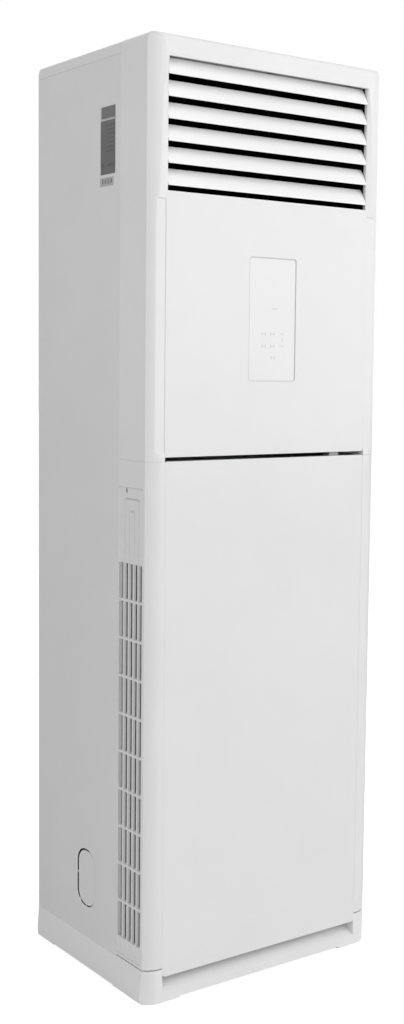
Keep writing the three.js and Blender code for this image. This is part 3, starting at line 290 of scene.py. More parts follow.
class Shape:
    """A mesh put together from rows of points, in millimetres."""

    def __init__(self):
        self.mesh = bmesh.new()

    def points(self, row):
        return [self.mesh.verts.new(Vector(p) * MM) for p in row]

    def face(self, row):
        self.mesh.faces.new(self.points(row))

    def grid(self, rows, closed=False):
        """Quads between rows of points; closed joins each row's last point to its first."""
        rings = [self.points(row) for row in rows]
        for low, high in zip(rings, rings[1:]):
            count = len(low) if closed else len(low) - 1
            for i in range(count):
                j = (i + 1) % len(low)
                self.mesh.faces.new((low[i], low[j], high[j], high[i]))

    def loft(self, rows):
        """A closed solid through rings of points, with flat ends."""
        self.grid(rows, closed=True)
        self.face(rows[0])
        self.face(rows[-1])

    def block(self, low, high):
        (x0, y0, z0), (x1, y1, z1) = low, high
        ring = [(x0, y0), (x1, y0), (x1, y1), (x0, y1)]
        self.loft([[(x, y, z) for x, y in ring] for z in (z0, z1)])

    def copy_node(self, node):
        self.mesh.from_mesh(frame["nodes"][node].data)

    def ring_face(self, *outlines):
        """A flat face between an outline and the holes in it."""
        edges = []
        for row in outlines:
            verts = self.points(row)
            edges += [self.mesh.edges.new((a, b)) for a, b in zip(verts, verts[1:] + verts[:1])]
        bmesh.ops.triangle_fill(self.mesh, use_beauty=True, edges=edges)

    def join(self, other, keep=False):
        """Adds another shape's faces to this one, and lets the other go unless it is kept."""
        mesh = bpy.data.meshes.new("joined")
        other.mesh.to_mesh(mesh)
        self.mesh.from_mesh(mesh)
        bpy.data.meshes.remove(mesh)
        if not keep:
            other.mesh.free()

    def mirrored(self):
        bmesh.ops.scale(self.mesh, vec=(-1, 1, 1), verts=self.mesh.verts)
        bmesh.ops.reverse_faces(self.mesh, faces=self.mesh.faces)

    def done(self, name, slot, rounding=0.0, segments=2, angle=40, flat=False):
        """The finished object, its sharp edges rounded by a radius in millimetres."""
        bmesh.ops.remove_doubles(self.mesh, verts=self.mesh.verts, dist=EPS * MM)
        if flat:
            bmesh.ops.dissolve_limit(
                self.mesh, angle_limit=math.radians(0.6), verts=self.mesh.verts,
                edges=self.mesh.edges, delimit={"NORMAL"},
            )
        bmesh.ops.recalc_face_normals(self.mesh, faces=self.mesh.faces)
        mesh = bpy.data.meshes.new(name)
        self.mesh.to_mesh(mesh)
        self.mesh.free()
        mesh.materials.append(MATERIALS.get(slot) or SHADES[slot])
        mesh.shade_smooth()
        mesh.set_sharp_from_angle(angle=SOFT_ANGLE)
        piece = bpy.data.objects.new(name, mesh)
        bpy.context.scene.collection.objects.link(piece)
        if rounding:
            bevel = piece.modifiers.new("rounding", "BEVEL")
            bevel.width = rounding * MM
            bevel.segments = segments
            bevel.limit_method = "ANGLE"
            bevel.angle_limit = math.radians(angle)
            bevel.harden_normals = False
        even = piece.modifiers.new("even", "WEIGHTED_NORMAL")
        even.keep_sharp = True
        return piece


def place(piece, body, slot, *nodes):
    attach(piece, body)
    for node in nodes:
        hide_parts(node)


def body_of(node):
    groups = frame["record"]["behaviour"]["bodies"]
    return next(body for body, members in groups.items() if node in members)


def slot_of(node):
    parts = frame["record"]["subparts"]
    return next(part["material_slot"] for part in parts if part["node"] == node)


def refine(node, rounding, segments=2):
    """A node's own form with its edges rounded."""
    shape = Shape()
    shape.copy_node(node)
    piece = shape.done(node + "_skin", slot_of(node), rounding, segments, flat=True)
    place(piece, body_of(node), slot_of(node), node)


# ---------------------------------------------------------------- side grilles

SLOT_COLUMNS = 5
SLOT_ROWS = 10
SLOT_WIDE = 12.4
SLOT_PITCH = 16.6
FIRST_SLOT = 25.2  # front edge of the foremost slot, behind the front plane
CROSS_BAR = 4.6
ARCH_HIGH = 144.0  # plain face above the slots
GRILLE_FRONT = 23.0  # the grille's edges behind the front plane
GRILLE_BACK = 105.2
GRILLE_DROP = 1.6  # reaches this far below its node
GRILLE_FACE = 0.8  # behind the cabinet's side
GRILLE_DEEP = 8.0
FOOT_PLATE = 34.0  # plain face below the slots
HEAD_CORNER = 6.0
FOOT_CORNER = 5.0
GROOVE_HALF = 1.9
GROOVE_DEEP = 4.2
GROOVE_AHEAD = 2.7  # the grooves stand this far in front of the slots' rear edges
GROOVE_CORNERS = (4.0, 3.0)  # of the outer and the inner arch, as in the next two
GROOVES_DOWN = (21, 44)  # from the grille's head
RIDGES_UP = (8, 16)  # from its foot
RIDGE_HIGH = 1.3
RIDGE_HALF = 1.0
BAR_TUCK = 2  # the upright bars run this far into the plain ends
NOTCH_AT = (78, 7.5)  # behind the front plane, below the grille's head
NOTCH_RADIUS = 2.4
NOTCH_HEAD = 1.5


def arc(centre, radius, start, end, steps):
    """Points of a circular arc between two angles in degrees."""
    turns = [math.radians(start + (end - start) * k / steps) for k in range(steps + 1)]
    return [(centre[0] + radius * math.cos(t), centre[1] + radius * math.sin(t)) for t in turns]


def arch(y0, y1, foot, head, radius, grow):
    """An upright U turned over: up at y0, over the head and down at y1, grown outwards."""
    r = radius + grow
    low, high = y0 - grow, y1 + grow
    return [
        (low, foot),
        *arc((low + r, head + grow - r), r, 180, 90, 5),
        *arc((high - r, head + grow - r), r, 90, 0, 5),
        (high, foot),
    ]


def slot_rear(column):
    return FRONT + FIRST_SLOT + column * SLOT_PITCH + SLOT_WIDE


def arched_plate(shape, x, low, high, foot, head, corner, nest, deep, half):
    """A plate on the grille's face with nested arches pressed into it.

    The outline stands on foot, which can lie above head for the plate at the bottom.
    """
    up = 1 if head > foot else -1

    def ring(y0, y1, top, radius, grow, depth):
        flat = arch(y0, y1, 0, (top - foot) * up, radius, grow)
        return [(x + depth, y, foot + up * z) for y, z in flat]

    outline = ring(low, high, head, corner, 0, 0)
    for y0, y1, top, radius in nest:
        outer = ring(y0, y1, top, radius, half, 0)
        middle = ring(y0, y1, top, radius, 0, deep)
        inner = ring(y0, y1, top, radius, -half, 0)
        shape.face(outline + outer[::-1])
        shape.grid([outer, middle, inner])
        outline = inner
    shape.face(outline)


def close_to_plane(shape, x):
    """Gives an open surface straight walls down to a plane across X, and a back."""
    mesh = shape.mesh
    bmesh.ops.remove_doubles(mesh, verts=mesh.verts, dist=EPS * MM)
    rim = [edge for edge in mesh.edges if edge.is_boundary]
    walls = bmesh.ops.extrude_edge_only(mesh, edges=rim)["geom"]
    for vertex in walls:
        if isinstance(vertex, bmesh.types.BMVert):
            vertex.co.x = x * MM
    back = [e for e in walls if isinstance(e, bmesh.types.BMEdge) and e.is_boundary]
    bmesh.ops.edgeloop_fill(mesh, edges=back)


def grille_shape():
    """The left grille: slots between bars, and nested arches in the plain ends."""
    low_box, high_box = node_box("left_intake_grille")
    bottom, top = low_box.z - GRILLE_DROP, high_box.z
    y0 = FRONT + GRILLE_FRONT
    y1 = FRONT + GRILLE_BACK
    first_row = bottom + FOOT_PLATE
    slots_top = top - ARCH_HIGH
    pitch = (slots_top + CROSS_BAR - first_row) / SLOT_ROWS
    face = -SIDE + GRILLE_FACE
    rear = -SIDE + GRILLE_DEEP
    spans = [[slot_rear(column) - GROOVE_AHEAD for column in pair] for pair in ((0, 3), (1, 2))]
    grooves = [(*span, top - down, corner)
               for span, down, corner in zip(spans, GROOVES_DOWN, GROOVE_CORNERS)]
    ridges = [(*span, bottom + up, corner)
              for span, up, corner in zip(spans, RIDGES_UP, GROOVE_CORNERS)]
    shape = Shape()
    head = Shape()
    arched_plate(
        head, face, y0, y1, slots_top, top, HEAD_CORNER, grooves, GROOVE_DEEP, GROOVE_HALF)
    close_to_plane(head, rear)
    foot = Shape()
    arched_plate(
        foot, face, y0, y1, first_row, bottom, FOOT_CORNER, ridges, -RIDGE_HIGH, RIDGE_HALF)
    close_to_plane(foot, rear)
    shape.join(head)
    shape.join(foot)
    edges = [y0 - 0.4]
    for column in range(SLOT_COLUMNS):
        rear_edge = slot_rear(column)
        edges += [rear_edge - SLOT_WIDE, rear_edge]
    edges.append(y1)
    for low, high in zip(edges[::2], edges[1::2]):
        last = high == y1
        bar_profile = [
            (face + 1.0, low + 0.4), (face + 0.6, (low + high) / 2), (face + 1.0, high - 0.4),
            (face + 1.6, high), (rear - 1.2, high if last else high + 1.3),
            (rear - 1.2, low - 1.3), (face + 1.6, low),
        ]
        ends = (first_row - BAR_TUCK, slots_top + BAR_TUCK)
        shape.loft([[(x, y, z) for x, y in bar_profile] for z in ends])
    for row in range(1, SLOT_ROWS):
        z1 = first_row + row * pitch
        z0 = z1 - CROSS_BAR
        bar_profile = [
            (face + 0.5, z0), (face - 0.1, z0 + 1.0), (face - 0.3, (z0 + z1) / 2),
            (face - 0.1, z1 - 1.0), (face + 0.5, z1), (rear - 1, z1 + 0.8), (rear - 1, z0 - 0.8),
        ]
        shape.loft([[(x, y, z) for x, z in bar_profile] for y in (y0, y1)])
    return shape


def finger_notch():
    """The small notch in the top edge of the left grille, a dark grey block that paints the shade
    inside it.
    """
    top = node_box("left_intake_grille")[1].z
    face = -SIDE + GRILLE_FACE
    back, down = NOTCH_AT
    foot = arc((FRONT + back, top - down), NOTCH_RADIUS, 180, 360, 8)
    head = [(FRONT + back + side * NOTCH_RADIUS, top - NOTCH_HEAD) for side in (-1, 1)]
    outline = [head[0], *foot, head[1]]
    shape = Shape()
    shape.loft([[(face + deep, y, z) for y, z in outline] for deep in (-0.1, 2.0)])
    return shape


def make_grilles():
    for name, turned in (("left_intake_grille", False), ("right_intake_grille", True)):
        shape = grille_shape()
        notch = finger_notch()
        if turned:
            shape.mirrored()
            notch.mirrored()
        piece = shape.done(name + "_skin", "satin_white", rounding=0.25)
        place(piece, body_of(name), "satin_white", name)
        # The notch's dark grey is painted shade.
        piece = notch.done(name + "_notch", "shaded_recess")
        place(piece, body_of(name), "satin_white")


make_grilles()

# ---------------------------------------------------------------- upper front frame

CORNER_ACROSS = 32.0  # front corner's ellipse in plan
CORNER_DEEP = 14.0
CORNER_FOOT_REACH = 14.0  # how far the web behind the corner reaches
CROWN = 10.0  # header's front edge, seen from the side
CORNER_TURN = 13.0  # top corners seen from the front
FRAME_WALL = 3.0
WEB_DEEP = 16  # the web's two ends behind the front plane
WEB_REAR = 24
HEADER_HIGH = 41.0
OUTLET_LIP = 39.5  # the bevel's inner edge beside the outlet
OUTLET_JAMB = 38.0
OUTLET_DEEP = 3.8  # the sloping strip's inner edge behind the front plane
PANEL_STRIP = (16.0, 4.2)  # where that strip begins beside the panel, and its depth there
PANEL_SNUG = 0.25
SILL_NOTCH = 14.7  # the strips change this far below the outlet's sill
PANEL_JAMB_REAR = 40
OUTLET_JAMB_REAR = 46
RAIL_DEEP = 12.3
STRIP_WIDENS = ((23.0, 0.3), (26.5, 90), (30.5, 185))  # where it begins, above the notch
STRIP_LAST = (36.0, 18)  # the same, below the outlet's head
ARC_STEPS = 8
CORNER_STEPS = 7


def creased_y(inward, across=CORNER_ACROSS, deep=CORNER_DEEP):
    """The rounded front corner, which meets the side at a crease as in the photo."""
    return FRONT + deep * max(1 - inward / across, 0) ** 2


def round_y(inward, across, deep=CORNER_DEEP):
    """The same corner as an ellipse that runs smoothly into the side."""
    share = min(max(1 - inward / across, 0), 1)
    return FRONT + deep * (1 - math.sqrt(1 - share ** 2))


def section(across, ridge, ridge_y, inner, inner_y, seat_n, jamb_rear, corner=creased_y):
    """Closed outline of the frame as (inward distance, y), from the rear edge forwards.

    ridge is where the rounded front ends and the bevel to the inner edge begins.
    """
    sweep = math.acos(1 - min(ridge / across, 1.0))
    outline = [(0.0, FRAME_REAR), (0.0, FRONT + CORNER_DEEP)]
    for k in range(1, ARC_STEPS):
        inward = across * (1 - math.cos(sweep * k / ARC_STEPS))
        outline.append((inward, corner(inward, across)))
    outline += [
        (ridge, ridge_y), (inner, inner_y), (inner, inner_y + 3.0), (seat_n, inner_y + 3.1),
        (seat_n, jamb_rear), (seat_n - FRAME_WALL, jamb_rear),
        (seat_n - FRAME_WALL, FRONT + WEB_DEEP), (CORNER_FOOT_REACH, FRONT + WEB_DEEP),
        (FRAME_WALL, FRONT + WEB_REAR), (FRAME_WALL, FRAME_REAR),
    ]
    return outline


def upper_frame_shape():
    """The inverted U round panel and outlet, lofted along the left column and half the header."""
    split = upper_low.z
    panel_low, panel_high = node_box("upper_front_panel")
    slot_top, sill = panel_low.z, panel_high.z
    notch = sill - SILL_NOTCH
    outlet_top = HEIGHT - HEADER_HIGH
    panel_n = SIDE - panel_high.x - PANEL_SNUG
    panel_rear = FRONT + PANEL_JAMB_REAR
    outlet_rear = FRONT + OUTLET_JAMB_REAR
    ridge, deep = PANEL_STRIP
    plain = section(
        CORNER_ACROSS, panel_n - 0.6, FRONT, panel_n, FRONT + 0.5, panel_n, panel_rear)
    shallow = section(
        CORNER_ACROSS, ridge, creased_y(ridge), panel_n, FRONT + deep, panel_n, panel_rear)

    def outlet(ridge):
        return section(
            CORNER_ACROSS, ridge, creased_y(ridge), OUTLET_LIP, FRONT + OUTLET_DEEP, OUTLET_JAMB,
            outlet_rear)

    header = section(
        CROWN, HEADER_HIGH - 0.8, FRONT, HEADER_HIGH, FRONT + 0.8, HEADER_HIGH - 5, outlet_rear,
        round_y)
    bevel_foot = slot_top - 0.5
    stations = [
        (plain, split), (plain, bevel_foot), (shallow, bevel_foot + 12.5), (shallow, notch - 0.3),
        *((outlet(ridge), notch + up) for ridge, up in STRIP_WIDENS),
        (outlet(STRIP_LAST[0]), outlet_top - STRIP_LAST[1]),
    ]
    rows = [[(-SIDE + n, y, z) for n, y in ring] for ring, z in stations]
    top_column = section(
        CORNER_ACROSS, OUTLET_LIP - 1, FRONT, OUTLET_LIP, FRONT + 0.8, OUTLET_JAMB, outlet_rear)
    for k in range(CORNER_STEPS + 1):
        share = k / CORNER_STEPS
        turn = math.radians(90.0 * share)
        ring = []
        for (nx, y), (nz, header_y) in zip(top_column, header):
            depth = y + (header_y - y) * share
            centre_x = -SIDE + max(CORNER_TURN, nx)
            centre_z = HEIGHT - max(CORNER_TURN, nz)
            ring.append((
                centre_x - max(CORNER_TURN - nx, 0) * math.cos(turn),
                depth,
                centre_z + max(CORNER_TURN - nz, 0) * math.sin(turn),
            ))
        rows.append(ring)
    rows.append([(0.0, y, HEIGHT - nz) for nz, y in header])
    half = Shape()
    half.grid(rows, closed=True)
    half.face(rows[0])
    shape = Shape()
    shape.join(half, keep=True)
    half.mirrored()
    shape.join(half)
    reach = SIDE - OUTLET_JAMB + FRAME_WALL
    opening = SIDE - panel_n
    rail = FRONT + RAIL_DEEP
    shape.block((-reach, rail, notch - 3), (reach, outlet_rear, sill - 3.7))
    shape.block((-opening, rail, slot_top + 1), (opening, panel_rear, slot_top + 25))
    return shape


def make_upper_frame():
    shape = upper_frame_shape()
    piece = shape.done("upper_front_frame_skin", "gloss_white", rounding=0.35, angle=50)
    place(piece, "cabinet", "gloss_white", "upper_front_frame")


make_upper_frame()

# ---------------------------------------------------------------- front panels


def rounded_outline(u0, u1, v0, v1, radii, inset=0.0, steps=6):
    """Outline with its own radius at the lower right, upper right, upper left, lower left."""
    lower_right, upper_right, upper_left, lower_left = [max(r - inset, 0.2) for r in radii]
    a, b, c, d = u0 + inset, u1 - inset, v0 + inset, v1 - inset
    return [
        *arc((b - lower_right, c + lower_right), lower_right, -90, 0, steps),
        *arc((b - upper_right, d - upper_right), upper_right, 0, 90, steps),
        *arc((a + upper_left, d - upper_left), upper_left, 90, 180, steps),
        *arc((a + lower_left, c + lower_left), lower_left, 180, 270, steps),
    ]


def tray(shape, extents, radii, face_y, rear_y, wall, edge):
    """A moulded panel: face with a rounded edge and a flange turned back all round."""
    def ring(inset, y):
        return [(u, y, v) for u, v in rounded_outline(*extents, radii, inset)]

    rings = [ring(wall, rear_y), ring(0, rear_y)]
    turns = [math.radians(15 * k) for k in range(7)]
    rings += [ring(edge * (1 - math.cos(t)), face_y + edge * (1 - math.sin(t))) for t in turns]
    shape.grid(rings, closed=True)
    shape.face(rings[-1])
    back = ring(wall, face_y + wall)
    shape.grid([rings[0], back], closed=True)
    shape.face(back)


PANEL_SPREAD = 0.75  # the photographed joint is finer than the moulding gap
PANEL_CORNERS = (8, 3, 3, 8)
PANEL_DEEP = 12
PANEL_WALL = 3.0
PANEL_EDGE = 0.3
RIBS_AT = (250, 480, 710, 940)  # heights of the ribs behind the lower panel
RIB_THICK = 2.5
RIB_REAR = 9
HOOKS_AT = (-180, 180)
HOOK_HALF = 12
HOOK_DROP = 7.5  # the hooks' pivot below the panel's top
# The hook's section round its pivot, as (distance behind the front plane, height).
HOOK_SECTION = [
    (2.5, -6.5), (12, -6.5), (12, 0.3), (12.4, 2.2), (13.8, 3.2), (16.2, 3.2), (17.6, 2.2),
    (18, 0.3), (18, -6.2), (21, -6.2), (21, 2.6), (19.4, 5.6), (17, 6.6), (2.5, 6.6),
]


def make_lower_panel():
    low, high = node_box("lower_front_panel")
    shape = Shape()
    tray(
        shape, (low.x - PANEL_SPREAD, high.x + PANEL_SPREAD, low.z, high.z), PANEL_CORNERS,
        low.y, low.y + PANEL_DEEP, PANEL_WALL, PANEL_EDGE,
    )
    for z in RIBS_AT:
        shape.block(
            (low.x + PANEL_WALL, low.y + RIB_THICK, z),
            (high.x - PANEL_WALL, low.y + RIB_REAR, z + RIB_THICK),
        )
    pivot = high.z - HOOK_DROP
    for hook_x in HOOKS_AT:
        shape.loft([
            [(hook_x + end, FRONT + y, pivot + z) for y, z in HOOK_SECTION]
            for end in (-HOOK_HALF, HOOK_HALF)
        ])
    piece = shape.done("lower_front_panel_skin", "gloss_white")
    place(piece, "lower_panel", "gloss_white", "lower_front_panel")


WINDOW_RECESS = 0.9
WINDOW_GAP = 0.5
WINDOW_SHADOW = 1.2  # the photographed groove is wider on the right and at the top
WINDOW_CORNERS = (5, 5, 5, 5)
WINDOW_EDGE = 0.4
UPPER_CORNERS = (3, 3, 3, 3)
UPPER_EDGE = 1.1
UPPER_WALL = 2.5
WINDOW_LIP = 0.7
WINDOW_SNUG = 0.3
SEAT_DEEP = 3.0  # the window's seat behind the panel's face
SEAT_GROW = 6
SEAT_REAR = 5.0
QUARTER = [math.radians(18 * k) for k in range(6)]  # a quarter turn in five steps


def make_upper_panel():
    low, high = node_box("upper_front_panel")
    pane_low, pane_high = node_box("display_window")
    pane = (pane_low.x, pane_high.x, pane_low.z, pane_high.z)
    shape = Shape()

    def outside(inset, y):
        extents = (low.x, high.x, low.z, high.z)
        return [(u, y, v) for u, v in rounded_outline(*extents, UPPER_CORNERS, inset)]

    def opening(grow, y):
        return [(u, y, v) for u, v in rounded_outline(*pane, WINDOW_CORNERS, -grow)]

    edge, lip = UPPER_EDGE, WINDOW_LIP
    seat, rear = low.y + SEAT_DEEP, low.y + SEAT_REAR
    skirt = [outside(UPPER_WALL, high.y), outside(0, high.y)]
    skirt += [outside(edge * (1 - math.cos(t)), low.y + edge * (1 - math.sin(t)))
              for t in QUARTER]
    shape.grid(skirt, closed=True)
    rim = [opening(WINDOW_SNUG + lip * (1 - math.sin(t)), low.y + lip * (1 - math.cos(t)))
           for t in QUARTER]
    shape.grid(rim, closed=True)
    shape.grid([rim[-1], opening(WINDOW_SNUG, seat), opening(-SEAT_GROW, seat),
                opening(-SEAT_GROW, rear), opening(UPPER_WALL, rear)], closed=True)
    shape.ring_face(skirt[-1], rim[0])
    shape.grid([skirt[0], outside(UPPER_WALL, rear)], closed=True)
    shape.ring_face(outside(UPPER_WALL, rear), opening(UPPER_WALL, rear))
    piece = shape.done("upper_front_panel_skin", "gloss_white")
    place(piece, "cabinet", "gloss_white", "upper_front_panel")


def make_window():
    low, high = node_box("display_window")
    shape = Shape()

    def ring(inset, y):
        right = high.x - WINDOW_SHADOW
        top = high.z - WINDOW_SHADOW
        outline = rounded_outline(low.x, right, low.z, top, WINDOW_CORNERS, inset)
        return [(u, y, v) for u, v in outline]

    edge = WINDOW_EDGE
    face = low.y + WINDOW_RECESS
    rings = [ring(WINDOW_GAP, high.y), ring(WINDOW_GAP, face + edge)]
    rings += [ring(WINDOW_GAP + edge * (1 - math.cos(t)), face + edge * (1 - math.sin(t)))
              for t in QUARTER[1:]]
    shape.grid(rings, closed=True)
    shape.face(rings[0])
    shape.face(rings[-1])
    piece = shape.done("display_window_skin", "window_acrylic")
    place(piece, "cabinet", "window_acrylic", "display_window")


ICON_PROUD = 0.03
ICON_SUNK = 0.2
ICON_LINE = 1.4
KEYS = [(-15, 1285), (-15, 1262), (6, 1285), (6, 1262), (8, 1239)]  # centres, as (x, z)
KEY_BAR = (4.5, 0.6)  # half the length and height of a key's bar
KEY_END = (3.8, 4.8, 4)  # inner edge, outer edge and half the height of its two ends
CHEVRONS = [(30, 1286, 1), (30, 1263, -1)]  # centre x, centre z and which way it points
CHEVRON_HALF = (5, 2)
TOP_DASH = (4, 18, 1333.4, 1334.6)
SIDE_DASH = (29.4, 30.6, 1271, 1278)


def make_icons():
    """Faint plain symbols on the display window."""
    face = node_box("display_window")[0].y + WINDOW_RECESS
    shape = Shape()

    depths = (face - ICON_PROUD, face + ICON_SUNK)

    def mark(x0, x1, z0, z1):
        shape.block((x0, depths[0], z0), (x1, depths[1], z1))

    mark(*TOP_DASH)
    bar_half, bar_thick = KEY_BAR
    end_in, end_out, end_half = KEY_END
    for x, z in KEYS:
        mark(x - bar_half, x + bar_half, z - bar_thick, z + bar_thick)
        mark(x - end_out, x - end_in, z - end_half, z + end_half)
        mark(x + end_in, x + end_out, z - end_half, z + end_half)
    reach, rise = CHEVRON_HALF
    for x, z, up in CHEVRONS:
        for side in (-1, 1):
            row = [(x, z + rise * up), (x + side * reach, z - rise * up)]
            line = row + [(u, v - ICON_LINE) for u, v in reversed(row)]
            shape.loft([[(u, y, v) for u, v in line] for y in depths])
    mark(*SIDE_DASH)
    piece = shape.done("display_icons", "icon_grey")
    place(piece, "cabinet", "window_acrylic")


make_lower_panel()
make_upper_panel()
make_window()
make_icons()

# ---------------------------------------------------------------- outlet blades

BLADE_LEAN = 18.0
BLADE_RISE = 32.0
BLADE_BULGE = 2.0
BLADE_THICK = 2.4
PIVOT_BACK = 22.0
PIVOT_UP = 24.0
CRANK_BACK = 16.0
CRANK_DROP = 6.0
BLADES = 6
BLADE_PITCH = 40.0
FIRST_BLADE = 31.0  # the top blade's lower edge below the header
BLADE_AHEAD = 2  # the blades' lower edges behind the front plane
BLADE_END_GAP = 0.7
EAR_THICK = 2.5
MIDDLE_EAR = 16.0
ARM_AT = (201.9, 204.4)
PIN_RADIUS = 2.3
PIN_OUT = 3  # the end pins reach this far past the blade
MIDDLE_PIN = (9.0, 17.5)
LINK_PIN_RADIUS = 1.8
LINK_PIN = (203.5, 209.5)


def blade_point(share, off):
    """A point of the blade's section round its pivot, as (y, z)."""
    chord = math.hypot(BLADE_LEAN, BLADE_RISE)
    normal = (-BLADE_RISE / chord, BLADE_LEAN / chord)
    rise = BLADE_BULGE * 4 * share * (1 - share) + off
    return (
        -PIVOT_BACK + BLADE_LEAN * share + normal[0] * rise,
        -PIVOT_UP + BLADE_RISE * share + normal[1] * rise,
    )


def blade_outline():
    """Bowed front, bowed back and a round nose at either edge."""
    steps = [k / 10 for k in range(11)]
    nose = BLADE_THICK / 2
    chord = math.hypot(BLADE_LEAN, BLADE_RISE)
    trim = nose / chord
    front = [blade_point(trim + t * (1 - 2 * trim), 0) for t in steps]
    back = [blade_point(trim + t * (1 - 2 * trim), -BLADE_THICK) for t in reversed(steps)]
    upper = [blade_point(1 - trim * (1 - math.sin(a)), -nose + nose * math.cos(a))
             for a in (math.radians(45), math.radians(90), math.radians(135))]
    lower = [blade_point(trim * (1 - math.sin(a)), -nose + nose * math.cos(a))
             for a in (math.radians(135), math.radians(90), math.radians(45))]
    return front + upper + back + lower


def make_blades():
    """Bowed blades with an ear at either end and in the middle, a crank arm and pins."""
    half = SIDE - OUTLET_LIP - BLADE_END_GAP
    pivot_y = FRONT + BLADE_AHEAD + PIVOT_BACK
    ear = [
        blade_point(0.35, -1), blade_point(0.95, -1), (0, 4.2), (2.6, 3.5), (4.0, 1.6),
        (4.2, -1.4), (3.0, -3.2), (1, -4.2), (-4, -5),
    ]
    arm = [
        blade_point(0.3, -1), blade_point(0.7, -1), (CRANK_BACK, 3.4 - CRANK_DROP),
        (CRANK_BACK + 2.4, 2.4 - CRANK_DROP), (CRANK_BACK + 3.4, -CRANK_DROP),
        (CRANK_BACK + 2.4, -2.4 - CRANK_DROP), (CRANK_BACK, -3.4 - CRANK_DROP),
    ]
    pin = arc((0, 0), PIN_RADIUS, 0, 330, 11)
    link_pin = arc((0, 0), LINK_PIN_RADIUS, 0, 330, 11)
    link_pin = [(y + CRANK_BACK, z - CRANK_DROP) for y, z in link_pin]
    top_pivot = HEIGHT - HEADER_HIGH - FIRST_BLADE + PIVOT_UP
    for index in range(BLADES):
        name = f"blade_{index + 1}"
        pivot_z = top_pivot - index * BLADE_PITCH
        shape = Shape()

        def plate(outline, x0, x1):
            shape.loft([[(x, pivot_y + y, pivot_z + z) for y, z in outline] for x in (x0, x1)])

        plate(blade_outline(), -half, half)
        plate(ear, -half, -half + EAR_THICK)
        plate(ear, half - EAR_THICK, half)
        plate(ear, MIDDLE_EAR, MIDDLE_EAR + EAR_THICK)
        plate(arm, *ARM_AT)
        plate(pin, half - 1, half + PIN_OUT)
        plate(pin, -half - PIN_OUT, 1 - half)
        plate(pin, *MIDDLE_PIN)
        plate(link_pin, *LINK_PIN)
        # The blades use the lighter white, which paints light on them.
        piece = shape.done(name + "_skin", "blade_white_painted_light", rounding=0.25, angle=50)
        place(piece, name, "gloss_white", name)


make_blades()

# ---------------------------------------------------------------- other covers

# Nodes that keep their own form, with the radius of their rounded edges.
REFINED = {
    "right_side_panel": 0.25,
    "top_cover": 0.6,
    "cable_grommet": 0.8,
    "panel_latch": 0.3,
}
PANEL_GAP = 1.0
TOE_DEEP = 20.0
TOE_DEEPER = 12.0  # the photographed toe recess lies in deep shade
BASE_WALL = 3.0
SEAM = 2.2  # the photographed seam above the base is wider than the moulding gap
BASE_FLARE = 3.0
BASE_CORNER_DEEP = 18.0


def crease_corners(shape, half, deep):
    """Moves a copied node's elliptic front corners, wall and all, to the creased form."""
    for vertex in shape.mesh.verts:
        inward = half - abs(vertex.co.x) / MM
        in_corner = vertex.co.y / MM < FRONT + deep + 0.5
        if in_corner and 0.1 < inward < CORNER_ACROSS:
            crease = creased_y(inward, CORNER_ACROSS, deep)
            vertex.co.y += (crease - round_y(inward, CORNER_ACROSS, deep)) * MM


def make_lower_frame():
    """The frame beside the lower panel, with its front carried on to the panel's joint."""
    joint = (node_box("lower_front_panel")[1].x + PANEL_GAP) * MM
    turn = (SIDE - CORNER_ACROSS) * MM
    shape = Shape()
    shape.copy_node("lower_front_frame")
    crease_corners(shape, SIDE, CORNER_DEEP)
    for vertex in shape.mesh.verts:
        at_front = vertex.co.y < (FRONT + 0.05) * MM
        if at_front and abs(abs(vertex.co.x) - turn) < 0.1 * MM:
            vertex.co.x = math.copysign(joint, vertex.co.x)
    piece = shape.done("lower_front_frame_skin", "gloss_white", rounding=0.2, flat=True)
    place(piece, "cabinet", "gloss_white", "lower_front_frame")


def make_base():
    """The base with a lower top, for the seam, and a deeper toe recess."""
    shape = Shape()
    shape.copy_node("base_plinth")
    crease_corners(shape, SIDE + BASE_FLARE, BASE_CORNER_DEEP)
    top = max(vertex.co.z for vertex in shape.mesh.verts)
    toe_wall = (FRONT + TOE_DEEP - 0.1, FRONT + TOE_DEEP + BASE_WALL + 0.1)
    for vertex in shape.mesh.verts:
        if vertex.co.z > top - MM:
            vertex.co.z -= SEAM * MM
        if toe_wall[0] < vertex.co.y / MM < toe_wall[1]:
            vertex.co.y += TOE_DEEPER * MM
    # The base uses the lighter white, which paints light on it.
    piece = shape.done("base_plinth_skin", "base_white_painted_light", rounding=0.8, flat=True)
    place(piece, "cabinet", "satin_white", "base_plinth")


SHEET = 1.0
KNOCK_OUT_AT = (13.0, 186.0)  # behind the middle, above the floor
KNOCK_OUT_HALF = (32.0, 56.0)
KNOCK_OUT_TURN = 28.0  # corner radius
DISH_WIDE = 8.0
DISH_DEEP = 1.7
REAR_GAP = 5.0
# The webs that hold the cover: front, back, foot and head.
BRIDGES = [(42, 51, 189, 192), (36, 40, 128, 138), (-2, 1, 236, 247), (14, 17, 126, 131)]


def knock_out(front, rear, rise, x):
    """The oval cover's outline, grown to the front, to the rear, and up and down."""
    (y, z), (half_wide, half_tall) = KNOCK_OUT_AT, KNOCK_OUT_HALF
    turn = KNOCK_OUT_TURN + rise
    outline = rounded_outline(
        y - half_wide - front, y + half_wide + rear, z - half_tall - rise, z + half_tall + rise,
        (turn,) * 4, steps=10,
    )
    return [(x, u, v) for u, v in outline]


